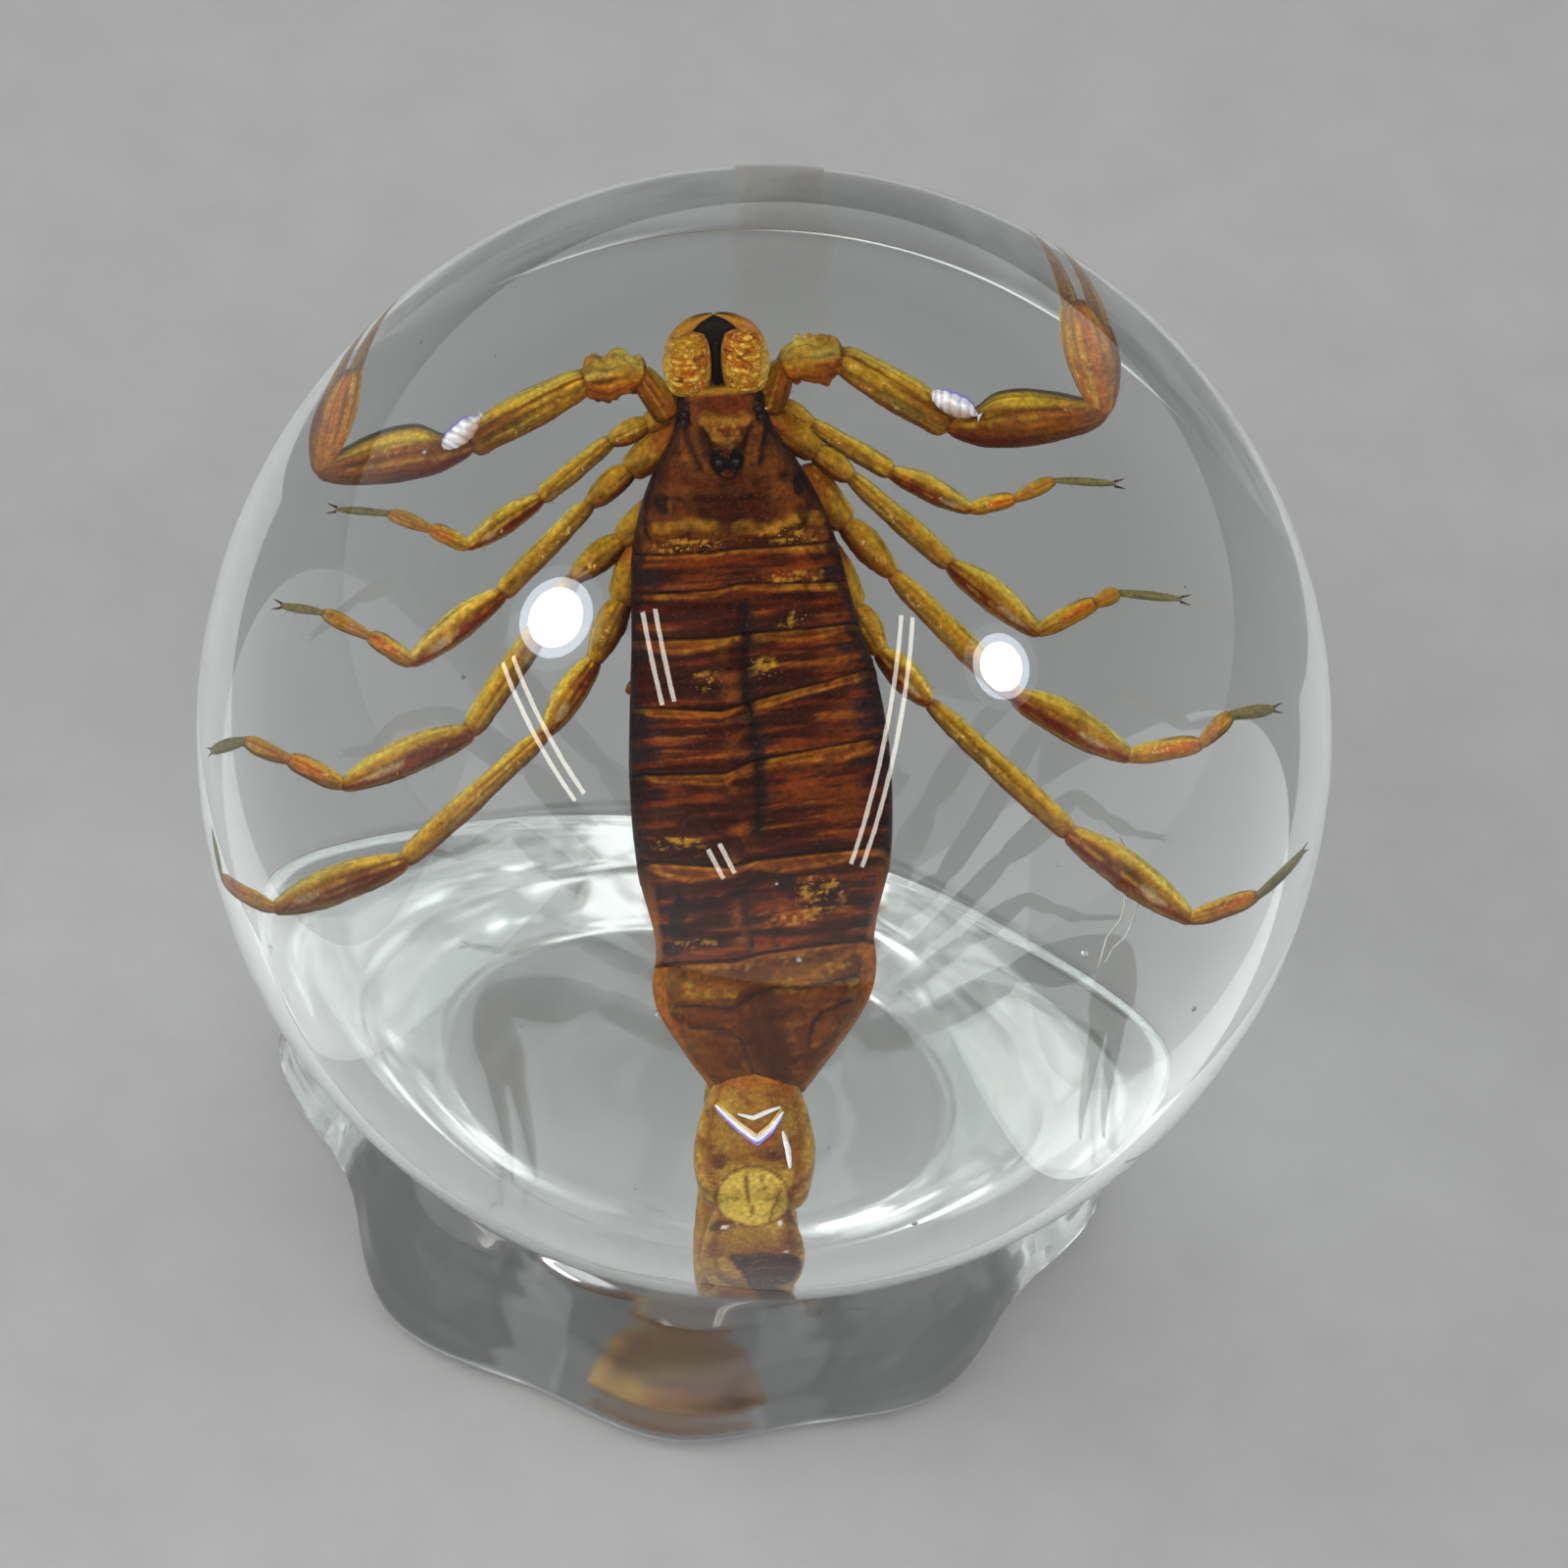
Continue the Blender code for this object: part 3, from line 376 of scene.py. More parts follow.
# Hairs: radius, shortest and longest, lean towards the tip, number on a segment
HAIR_RADIUS = 0.011
HAIR_LENGTHS = (0.15, 0.42)
HAIR_LEANS = (0.4, 1.2)
HAIR_SHARES = (0.1, 0.95)       # of the segment's length
HAIR_ROOT = 0.9                 # of the segment's half width
HAIR_COUNTS = {"leg": 14, "palp": 12, "tail": 10}

# The two small claws that end a leg
CLAW_ROWS = 8
CLAW_STEP = 0.075
CLAW_TURN = 75.0
CLAW_SPREAD = 0.25
CLAW_OFFSET = 0.08
CLAW_RADIUS = 0.06

# Air caught beside the pedipalps' joints: middle, half length, half width, heading, height
AIR_POCKETS = {"left": ((-10.5, 11.7), 0.95, 0.45, 36.0, 0.5),
               "right": ((7.6, 11.55), 1.0, 0.45, -30.0, 0.5)}
AIR_FOLDS = 8
AIR_POCKET_HALF_DEPTH = 0.35
# Films of air in the tail's first segment: corners, half width, colour; the white is a painted
# reflection of the light the air mirrors, the blue and yellow painted colour fringes of that light
AIR_FILMS = ((((-2.57, -13.7), (-1.75, -14.6), (-1.1, -15.2), (-0.55, -14.75), (-0.07, -14.1)),
              0.12, (1.0, 1.0, 1.0)),
             (((-2.57, -13.87), (-1.75, -14.8), (-1.1, -15.42), (-0.55, -14.95), (-0.1, -14.3)),
              0.05, (0.35, 0.25, 1.0)),
             (((-2.5, -13.6), (-1.75, -14.42), (-1.1, -15.0), (-0.6, -14.6), (-0.1, -13.95)),
              0.04, (1.0, 0.6, 0.08)),
             (((-1.75, -14.1), (-1.2, -14.3), (-0.6, -14.05), (-0.15, -13.9)),
              0.1, (0.95, 0.95, 0.9)),
             (((-0.12, -14.9), (0.04, -15.7), (0.08, -16.5)), 0.11, (0.95, 0.95, 0.98)))
FILM_HEIGHT = 1.9
# Threads of poorly mixed resin that pass under the right leg of the last pair
RESIN_THREADS = ((((11.61, -3.94), (11.83, -4.54), (12.12, -4.90), (12.34, -5.43), (12.32, -6.20),
                   (12.20, -6.70), (12.00, -7.16), (11.83, -7.51), (11.32, -7.93), (11.04, -8.41)),
                  0.045, (0.52, 0.51, 0.48)),
                 (((11.10, -3.65), (11.42, -4.48), (11.82, -5.40), (11.83, -6.39), (11.66, -6.92),
                   (11.15, -7.51), (10.81, -8.53)), 0.04, (0.58, 0.55, 0.50)),
                 (((11.74, -4.10), (12.00, -4.70), (12.24, -5.00)), 0.03, (0.30, 0.29, 0.32)))
THREAD_HEIGHT = -4.2
TAIL_DISC = (-1.4, -17.7, 1.35, 1.35)
TAIL_DISC_CRACKS = (((-1.5, -16.3), (-1.62, -17.3), (-1.45, -18.6)),
                    ((-1.1, -16.5), (-0.95, -17.2), (-0.85, -17.4)),
                    ((-0.3, -17.4), (-0.75, -18.3), (-0.8, -18.9)))
TAIL_DARK_SPOTS = ((-2.55, -16.0, 0.3, 0.35), (-0.5, -15.9, 0.4, 0.2), (-2.7, -18.9, 0.5, 0.3),
                   (0.2, -18.4, 0.35, 0.5))
# Dark quadrilateral: where it starts along the tail, its lean, its left and right edges
TAIL_DARK_QUAD = (-20.5, 0.32, -2.7, 0.25)
TAIL_GLINTS = ((-2.55, -19.0, 0.17, 0.1), (-0.4, -18.9, 0.1, 0.16), (-0.2, -20.5, 0.12, 0.06))
BUBBLES = 46
BUBBLE_RADII = (0.04, 0.16)
BUBBLE_REACH = (0.62, 0.97)     # of the globe's radius
BUBBLE_SEED = 7
HAIR_SEED = 11

FLOOR_DROP = -0.05              # leaves a film of air below the stand
FLOOR_HALF_WIDTH = 1500.0

# Colours, as linear red, green and blue
INK = np.array((0.006, 0.004, 0.005))
MAHOGANY = np.array((0.034, 0.004, 0.002))
RED_BROWN = np.array((0.15, 0.020, 0.004))
AMBER = np.array((0.29, 0.082, 0.006))
HONEY = np.array((0.36, 0.19, 0.018))
ORANGE = np.array((0.52, 0.16, 0.010))
GOLD = np.array((0.56, 0.33, 0.032))
PALE_GOLD = np.array((0.90, 0.70, 0.26))
MOSS = np.array((0.14, 0.15, 0.055))
BLADE = np.array((0.15, 0.065, 0.012))
OUTLINE_COLOUR = (0.030, 0.026, 0.006)
WARM_PATCH = (0.24, 0.052, 0.004)
FLANK = (0.28, 0.085, 0.007)
DUST = (0.25, 0.088, 0.008)
VIOLET_CORNER = (0.035, 0.012, 0.010)
DISC_YELLOW = (0.72, 0.50, 0.07)
GLINT_CREAM = (0.95, 0.85, 0.65)
FINGER_ROOT = (0.50, 0.20, 0.045)
# Painted reflection of the light that caught air mirrors, and a painted blue fringe of that light
PAINTED_SILVER_REFLECTION = (0.62, 0.58, 0.60)
PAINTED_WHITE_REFLECTION = (1.0, 1.0, 1.0)
PAINTED_BLUE_FRINGE = (0.25, 0.22, 0.95)
CREASE_BROWN = (0.50, 0.27, 0.14)

# Photograph: the image is square, and the globe's outline is a circle in it
IMAGE_SIZE = 1600.0
GLOBE_CENTRE_PIXEL = (780.0, 748.0)
GLOBE_RADIUS_PIXELS = 580.0
CAMERA_ELEVATION = 48.0
CAMERA_ROLL = 11.0
CAMERA_DISTANCE = 12.0          # in globe radii
SENSOR_WIDTH = 36.0
ROUND_LIGHT_PIXELS = ((567.0, 630.0, 40.0), (1022.0, 680.0, 32.0))
STRIP_LIGHT_PIXELS = (((661.0, 622.0), (681.0, 718.0)), ((937.0, 617.0), (880.0, 898.0)),
                      ((512.0, 672.0), (588.0, 818.0)), ((728.0, 864.0), (744.0, 894.0)))
STRIP_GAP = 0.011
STRIP_WIDTH = 0.008
STRIP_POWER = 40.0              # watts per square metre
STRIP_COLOUR = (1.0, 0.93, 0.82)
LAMP_DISTANCE = 0.5             # metres from the globe's surface to the mirrored lamps
RING_STEP = 0.01                # metres between a round lamp's rings
# A round lamp's bright core and its glow: share of the radius, power per area, colour
ROUND_LIGHT_RINGS = ((0.72, 110.0, (0.95, 0.97, 1.0)), (1.0, 26.0, (0.80, 0.88, 1.0)),
                     (1.35, 3.0, (0.75, 0.85, 1.0)))
SOFTBOXES = (("key", (-0.68, -0.32, 0.66), (0.9, 0.9), 5.2),
             ("fill", (0.68, -0.30, 0.70), (0.9, 0.9), 2.7),
             ("front", (0.0, -0.45, 0.95), (0.8, 0.8), 2.6))
# Finishes: noise is in cells per metre, bump distances are in metres
NOISE_ROUGHNESS = 0.6
NOISE_SPREAD = (0.3, 0.7)       # where most of the noise lies
GRAIN_SCALE = 5200.0
GRAIN_SHARE = 0.6
GRAIN_GREYS = (0.35, 1.5)
FLAKE_SCALE = 9000.0
FLAKE_SPREAD = (0.62, 0.7)
CHITIN_BUMP = 0.00006
SUBSURFACE_RADIUS = (1.0, 0.45, 0.12)
SUBSURFACE_SCALE = 0.0006
CHITIN_SPECULAR = 0.1
CHITIN_SPECULAR_TINT = (1.0, 0.80, 0.45, 1.0)
RESIN_IOR = 1.5
RESIN_DENSITY = 6.0
RESIN_TINT = (0.80, 0.90, 0.86, 1.0)
WAVE_BUMP = 0.0002
FLOOR_GREYS = ((0.50, 0.50, 0.495, 1), (0.54, 0.54, 0.535, 1))
# The studio's brightness by height over the horizon, as the sine of that angle
SKY_STOPS = ((0.0, 0.8), (0.2, 0.65), (0.5, 0.15), (1.0, 0.08))


def curve(knots, at):
    """Smooth curve through (position, value) knots, at any positions."""
    table = np.asarray(knots, float)
    places, values = table[np.argsort(table[:, 0])].T
    slopes = np.gradient(values, places)
    at = np.clip(at, places[0], places[-1])
    i = np.clip(np.searchsorted(places, at, "right") - 1, 0, len(places) - 2)
    width = places[i + 1] - places[i]
    t = (at - places[i]) / width
    return ((1 + 2 * t) * (1 - t) ** 2 * values[i] + t * (1 - t) ** 2 * width * slopes[i]
            + t * t * (3 - 2 * t) * values[i + 1] + t * t * (t - 1) * width * slopes[i + 1])


def ramp(value, low, high):
    """0 below `low` and 1 above `high`, with soft ends."""
    share = np.clip((value - low) / (high - low), 0.0, 1.0)
    return share * share * (3 - 2 * share)


# The cells lie askew to the body, so that no pattern follows its axes
NOISE_TURN = np.array(Euler((0.6, 0.9, 0.5)).to_matrix())
# Factors that scatter a cell's number, and the step from one seed to the next
CELL_FACTORS = np.array((127.1, 311.7, 74.7))
CELL_GAIN = 43758.5453
SEED_STEP = 17.31
FRACTAL_LEVEL = 0.6


def noise(points, scale, seed=0.0):
    """Smooth noise from about -1 to 1 at points; `scale` is cells per millimetre, also by axis."""
    turned = np.asarray(points) if np.ndim(scale) else np.asarray(points) @ NOISE_TURN
    at = turned * scale + seed * SEED_STEP
    base = np.floor(at)
    part = at - base
    part = part * part * (3 - 2 * part)
    total = 0.0
    for corner in itertools.product((0, 1), repeat=3):
        cell = (base + corner) @ CELL_FACTORS
        value = np.modf(np.sin(cell) * CELL_GAIN)[0]
        weight = np.prod(np.where(corner, part, 1 - part), axis=-1)
        total = total + value * weight
    return total


def fractal(points, scale, seed=0.0, octaves=3):
    """Noise with finer and weaker layers on it."""
    scale = np.asarray(scale, float)
    layers = (noise(points, scale * 2 ** i, seed + i) / 2 ** i for i in range(octaves))
    return sum(layers) * FRACTAL_LEVEL


def cloud(points, scale, seed, low, high, octaves=3):
    """Soft patches: 0 where the noise is below `low` and 1 where it is above `high`."""
    return ramp(fractal(points, scale, seed, octaves), low, high)


def bell(value, middle, width):
    """1 at the middle, falling off softly over the width."""
    return np.exp(-((value - middle) / width) ** 2)


def mix(first, second, share):
    """Blend of two tints, by a share at each point."""
    share = np.asarray(share)[..., None]
    return np.asarray(first) * (1 - share) + np.asarray(second) * share


def with_glint(tint, glint):
    """A tint with the strength of its glints as a fourth channel."""
    glint = np.broadcast_to(glint, tint.shape[:-1])
    return np.concatenate((tint, glint[..., None]), axis=-1)


def oval_reach(x, y, oval):
    """Distance from an oval's centre, 1 on its edge; the oval is its centre and half sizes."""
    cx, cy, rx, ry = oval
    return np.hypot((x - cx) / rx, (y - cy) / ry)


def spots(x, y, ovals):
    """1 inside any of the ovals and 0 well outside."""
    reach = [oval_reach(x, y, oval) for oval in ovals]
    return 1 - ramp(np.min(reach, axis=0), 0.8, 1.2)


def strokes(x, y, lines, half_width):
    """1 on the lines, given by their corners, falling to 0 at `half_width` from them."""
    nearest = np.full(np.shape(x), np.inf)
    for line in lines:
        for (ax, ay), (bx, by) in zip(line, line[1:]):
            dx, dy = bx - ax, by - ay
            t = np.clip(((x - ax) * dx + (y - ay) * dy) / (dx * dx + dy * dy), 0, 1)
            nearest = np.minimum(nearest, np.hypot(x - ax - t * dx, y - ay - t * dy))
    return 1 - ramp(nearest, 0.25 * half_width, half_width)


def heading_vector(heading, side=1.0, slope=0.0):
    """Direction in the scorpion's frame; a positive slope goes towards its belly."""
    turn, fall = math.radians(heading), math.radians(slope)
    return Vector((side * math.cos(turn) * math.cos(fall),
                   math.sin(turn) * math.cos(fall), -math.sin(fall)))


def link_item(name, data):
    item = bpy.data.objects.new(name, data)
    bpy.context.scene.collection.objects.link(item)
    return item


class Skin:
    """Gathers closed grids of points, each point with a colour and a glint, into one object."""

    def __init__(self):
        self.points = []
        self.tints = []
        self.faces = []
        self.count = 0

    def grid(self, points, tints):
        """A tube: rows of points that close round, with a fan on each end row."""
        rows, columns = points.shape[:2]
        index = np.arange(rows * columns).reshape(rows, columns) + self.count
        after = np.roll(index, -1, axis=1)
        quads = np.stack((index[:-1], after[:-1], after[1:], index[1:]), axis=-1).reshape(-1, 4)
        self.faces.extend(quads.tolist())
        centre = self.count + rows * columns
        self.faces.extend([[b, a, centre] for a, b in zip(index[0], after[0])])
        self.faces.extend([[a, b, centre + 1] for a, b in zip(index[-1], after[-1])])
        ends = np.array((points[0].mean(axis=0), points[-1].mean(axis=0)))
        end_tints = np.array((tints[0].mean(axis=0), tints[-1].mean(axis=0)))
        self.points.extend((points.reshape(-1, 3), ends))
        self.tints.extend((tints.reshape(-1, 4), end_tints))
        self.count += rows * columns + 2

    def spike(self, root, direction, length, radius, tint):
        """A fine hair or tooth with three sides."""
        direction = direction.normalized()
        across = direction.orthogonal().normalized()
        other = direction.cross(across)
        ring = [root + (across * math.cos(a) + other * math.sin(a)) * radius
                for a in (0.0, math.tau / 3, 2 * math.tau / 3)]
        points = np.array([*ring, root + direction * length])
        self.points.append(points)
        self.tints.append(np.tile((*tint, 0.0), (4, 1)))
        n = self.count
        self.faces.extend([[n, n + 1, n + 3], [n + 1, n + 2, n + 3], [n + 2, n, n + 3],
                           [n + 2, n + 1, n]])
        self.count += 4

    def build(self, name, material, matrix):
        """The object, which rides on the one body and has its material slot."""
        mesh = bpy.data.meshes.new(name)
        mesh.from_pydata((np.concatenate(self.points) * MM).tolist(), [], self.faces)
        tints = mesh.color_attributes.new("tint", "FLOAT_COLOR", "POINT")
        tints.data.foreach_set("color", np.concatenate(self.tints).astype(np.float32).ravel())
        face_outward(mesh)
        mesh.shade_smooth()
        mesh.materials.append(material)
        item = link_item(name, mesh)
        item.matrix_world = matrix
        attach(item, "root")
        return item


def face_outward(mesh):
    body = bmesh.new()
    body.from_mesh(mesh)
    bmesh.ops.recalc_face_normals(body, faces=body.faces)
    body.to_mesh(mesh)
    body.free()


def round_outline(columns, squareness):
    """Angles round a tube, and how far across and up its outline reaches at each."""
    angles = math.tau * (np.arange(columns) + 0.5) / columns
    wide, tall = np.cos(angles), np.sin(angles)
    wide = np.sign(wide) * np.abs(wide) ** squareness
    tall = np.sign(tall) * np.abs(tall) ** squareness
    return angles, wide, tall


def tube(skin, centres, across, up, reach, paint, columns, relief=None, squareness=1.0):
    """A tube along centres; `reach` holds the reach along +across, -across and up at each row."""
    angles, wide, tall = round_outline(columns, squareness)
    ahead, behind, high = (np.asarray(values)[:, None] for values in reach)
    offset = (across[:, None] * (np.where(wide > 0, ahead, behind) * wide)[..., None]
              + up[:, None] * (high * tall)[..., None])
    points = centres[:, None] + offset
    share = np.linspace(0, 1, len(centres))[:, None] + 0 * angles
    if relief:
        length = np.maximum(np.linalg.norm(offset, axis=-1, keepdims=True), 1e-6)
        points = points + offset / length * relief(share, angles, points)[..., None]
    skin.grid(points, paint(share, angles, points))


def keel_relief(keels, knobs, shares, length):
    """Rows of small bumps along a segment, knobs where it has them, and a fine grain."""
    def relief(_, angles, points):
        fade = (ramp(shares, 0.06, 0.16) * (1 - ramp(shares, 0.86, 0.96)))[:, None]
        total = 0.035 * fractal(points, 1.4, 5.0) + 0.01 * noise(points, 9.0, 2.0)
        total = total + knobs * np.abs(noise(points, 2.6, 3.0))
        for angle, height, width, period in keels:
            away = (np.degrees(angles) - angle + 180.0) % 360.0 - 180.0
            bump = 0.4 + 0.6 * np.cos(math.tau * shares * length / period)[:, None]
            total = total + fade * height * bump * bell(away, 0.0, width)
        return total
    return relief


def rounded_shares(rows, length, overrun):
    """Shares of a segment's length, closer at its ends, and the rounding of the ends there."""
    shares = (1 - np.cos(np.pi * np.linspace(0, 1, rows))) / 2
    cap = max(overrun / length, 0.03) * 1.6
    from_end = np.minimum(shares, 1 - shares)
    rounding = np.sqrt(np.clip(1 - (1 - np.clip(from_end / cap, 0, 1)) ** 2, 0.0004, 1))
    return shares, rounding


def tile_rows(direction, rows):
    """The same direction at every row."""
    return np.tile(np.array(direction), (rows, 1))


def segment(skin, kind, start, end, across, up, half_width, tallness, grid, keels, paint,
            squareness=1.0):
    """One limb segment from joint to joint, with round ends that reach past both joints."""
    rows, columns = grid
    along = (end - start).normalized()
    overrun = JOINT_OVERLAP * half_width
    start, end = start - along * overrun, end + along * overrun
    length = (end - start).length
    shares, rounding = rounded_shares(rows, length, overrun)
    knots = np.array(SHAPES[kind])
    reach = [curve(knots[:, (0, i)], shares) * rounding * half_width for i in (1, 2, 3)]
    reach[2] = reach[2] * tallness
    centres = np.array(start) + np.outer(shares, np.array(end - start))

    def painted(_, angles, points):
        return paint(kind, shares[:, None] + 0 * angles, angles + 0 * shares[:, None], points)
    tube(skin, centres, tile_rows(across, rows), tile_rows(up, rows), reach, painted, columns,
         keel_relief(keels, KNOBBLY.get(kind, 0.0), shares, length),
         FLATNESS.get(kind, squareness))


def horn(skin, start, direction, length, bend, half_width, axis, paint, grid=HORN_GRID,
         flatness=1.0):
    """A tapering hook: its direction turns by `bend` about `axis` from root to tip."""
    rows, columns = grid
    points, point, alongs = [], start.copy(), []
    for i in range(rows):
        share = i / (rows - 1)
        along = Matrix.Rotation(math.radians(bend * share), 3, axis) @ direction
        points.append(point.copy())
        alongs.append(along)
        point += along * (length / (rows - 1))
    shares = np.linspace(0, 1, rows)
    girth = half_width * (1 - HORN_TAPER * shares ** HORN_FULLNESS)
    tip = np.minimum((1 - shares) / HORN_TIP, 1)
    girth = girth * np.sqrt(np.clip(1 - (1 - tip) ** 2, 0.01, 1))
    hint = Vector((1.0, 0.0, 0.0)) if axis == "X" else Vector((0.0, 0.0, 1.0))
    ups = [(hint - along * hint.dot(along)).normalized() for along in alongs]
    across = np.array([up.cross(along) for up, along in zip(ups, alongs)])
    tube(skin, np.array(points), across, np.array(ups), (girth * flatness,) * 2 + (girth,),
         paint, columns, lambda share, angles, at: 0.01 * noise(at, 6.0, 1.0))


def ball(skin, centre, size, paint, grid=BALL_GRID, relief=None, axes=None):
    """An oval body; `axes` are its across, up and along directions."""
    rows, columns = grid
    across, up, along = axes or (Vector((1, 0, 0)), Vector((0, 0, 1)), Vector((0, 1, 0)))
    turns = np.linspace(POLE_MARGIN, math.pi - POLE_MARGIN, rows)
    centres = np.array(centre) + np.outer(-np.cos(turns) * size[1], np.array(along))
    girth = np.sin(turns)
    tube(skin, centres, tile_rows(across, rows), tile_rows(up, rows),
         (girth * size[0], girth * size[0], girth * size[2]), paint, columns, relief)


def plain_paint(colour, glint=0.0, variation=0.25):
    """A colour with soft lighter and darker patches."""
    def paint(_, __, points):
        shade = 1 + variation * fractal(points, 1.5)
        return with_glint(np.asarray(colour) * shade[..., None], glint)
    return paint


def band_colours(kind, across, shares):
    """Colours across a segment, blending from its root to its tip."""
    root, tip = BANDS.get(kind, BANDS["plain"])

    def profile(knots):
        places, colours = zip(*knots)
        return np.stack([np.interp(across, places, part) for part in np.transpose(colours)], -1)
    return mix(profile(root), profile(tip), ramp(shares, 0.3, 0.75))


def limb_paint(seed):
    """Translucent golden skin: bright rims, partly a painted rim highlight; dark joints; stains of
    what lies inside; painted sparkle highlights.
    """
    def paint(kind, shares, angles, points):
        ahead, top = np.cos(angles), np.sin(angles)

        def stretched(along, around):
            return np.stack((shares * along, ahead * around, top * around), axis=-1)
        patches = fractal(points, 0.7, seed)
        grain = fractal(points, 3.6, seed + 4)
        streaks = fractal(stretched(2.2, 4.0), 1.3, seed + 2)
        lines = noise(stretched(3.0, 11.0), 1.0, seed + 9)
        clumps = fractal(stretched(7.0, 3.0), 1.4, seed + 5)
        across = np.clip(ahead + 0.1 * streaks + 0.05 * grain, -1, 1)
        along = shares + 0.1 * patches
        tint = band_colours(kind, across, along)
        for *oval, colour, strength in STAINS.get(kind, ()):
            stained = 1 - ramp(oval_reach(across, along, oval), 0.55, 1.15)
            tint = mix(tint, colour, stained * strength * (top > -0.3))
        tint = mix(tint, BRASS * 1.15, ramp(clumps, 0.2, 0.5) * ramp(ahead, -0.7, 0.1) * 0.5)
        tint = mix(tint, tint * np.array((0.5, 0.38, 0.4)), ramp(-clumps, 0.15, 0.55) * 0.55)
        tint = mix(tint, tint * 0.4, ramp(lines, 0.3, 0.6) * 0.7)
        tint = mix(tint, tint * 1.5, ramp(-lines, 0.35, 0.7) * 0.6)
        dark = ramp(ahead, 0.94, 0.985) * OUTLINED.get(kind, 0.0) * ramp(shares, 0.08, 0.2)
        tint = mix(tint, OUTLINE_COLOUR, dark)
        joint = np.maximum(1 - ramp(shares, 0.01, 0.09), ramp(shares, 0.93, 0.99))
        tint = mix(tint, RED_BROWN * 1.2, joint * 0.75)
        tint = mix(tint, MOSS, MOSSY.get(kind, 0.0))
        tint = tint * (1 + 0.3 * streaks + 0.25 * grain + 0.3 * patches)[..., None]
        sparkle_share = 0.0
        for oval in SPARKLE_HIGHLIGHTS.get(kind, ()):
            inside = 1 - ramp(oval_reach(across, along, oval), 0.6, 1.1)
            sparkle_share = np.maximum(sparkle_share, inside)
        # The sparkles are painted highlights, kept to the segment's top where the light catches
        # them
        sparkle_share = sparkle_share * ramp(top, 0.1, 0.5) * ramp(grain, -0.2, 0.3)
        painted_sparkles = ramp(noise(points, 10.0, seed + 7), 0.5, 0.75)
        tint = mix(tint, PALE_GOLD, painted_sparkles * sparkle_share * 0.65)
        return with_glint(np.clip(tint, 0.002, 1), 0.05 + 0.9 * sparkle_share)
    return paint


def paint_air_window(tint, x, y, top):
    """The yellow disc, cracks and dark stains seen in the top of the tail's first segments."""
    plane = np.stack((x, y, 0 * x), axis=-1)
    fine = fractal(plane, 2.2, 3.0)
    reach = oval_reach(x + 0.05 * fine, y, TAIL_DISC)
    disc = (1 - ramp(reach, 0.96, 1.01)) * top
    tint = mix(tint, mix(BRASS * 0.85, DISC_YELLOW, cloud(plane, 0.9, 3.0, -0.3, 0.2)), disc)
    tint = mix(tint, AMBER * 0.6, bell(reach, 1.02, 0.05) * top * 0.8)
    tint = mix(tint, AMBER * 0.7, strokes(x + 0.1 * fine, y, TAIL_DISC_CRACKS, 0.09) * top * 0.9)
    tint = mix(tint, RED_BROWN * 0.5, spots(x, y, TAIL_DARK_SPOTS) * top * 0.8)
    start, lean, left, right = TAIL_DARK_QUAD
    across = x + lean * (y - start) + 0.08 * fine
    dark = (ramp(across, left, left + 0.12) * (1 - ramp(across, right - 0.12, right))
            * ramp(start - y + 0.25 * fine, 0.0, 0.25))
    # Dark brown laid over a slanted quadrilateral on the tail's top
    quad_brown = mix(MAHOGANY * 0.8, AMBER * 0.35, cloud(plane, 4.0, 9.0, -0.1, 0.5))
    tint = mix(tint, quad_brown, dark * top)
    return mix(tint, GLINT_CREAM, spots(x + 0.1 * fine, y, TAIL_GLINTS) * top)


def tail_paint(seed, window):
    """Amber glassy skin with dark rims and golden hollows; `window` adds the air window."""
    def paint(_, shares, angles, points):
        patches = fractal(points, 0.6, seed)
        fine = fractal(points, 3.0, seed + 3)
        tint = mix(AMBER * 1.1, HONEY, ramp(patches, -0.3, 0.2))
        tint = mix(tint, GOLD * 1.05, cloud(points, 0.9, seed + 6, 0.0, 0.45) * 0.8)
        ahead = np.abs(np.cos(angles))
        tint = mix(tint, AMBER * 0.8, bell(ahead, 0.72, 0.08) * 0.8)
        tint = mix(tint, GOLD * 1.1, ramp(ahead, 0.8, 0.93) * (0.4 + 0.5 * ramp(fine, -0.3, 0.4)))
        joint = np.maximum(1 - ramp(shares, 0.02, 0.1), ramp(shares, 0.93, 0.99))
        tint = mix(tint, RED_BROWN * 1.1, joint * 0.8)
        tint = mix(tint, RUST, cloud(points, 1.6, seed + 9, 0.1, 0.4) * 0.7)
        tint = mix(tint, FLAME * 0.8, (1 - ramp(shares, 0.12, 0.3)) * 0.7)
        tint = tint * (1 + 0.3 * fine + 0.2 * patches)[..., None]
        if window:
            top = ramp(np.sin(angles), 0.1, 0.5)
            tint = paint_air_window(tint, points[..., 0], points[..., 1], top)
        return with_glint(np.clip(tint, 0.002, 1), 0.2 + 0.5 * ramp(patches, 0.1, 0.4))
    return paint


def blade_paint(share, angles, points):
    """A claw's finger: golden edges on an olive-brown blade."""
    across = np.abs(np.cos(angles))
    tint = mix(BLADE, BLADE * 1.9, cloud(points, 1.6, 71.0, -0.2, 0.4))
    tint = mix(tint, GOLD * 0.75, ramp(across, 0.55, 0.85) * (1 - 0.5 * share))
    tint = mix(tint, RED_BROWN, (1 - ramp(share, 0.0, 0.12)) * 0.6)
    return with_glint(tint, 0.4)


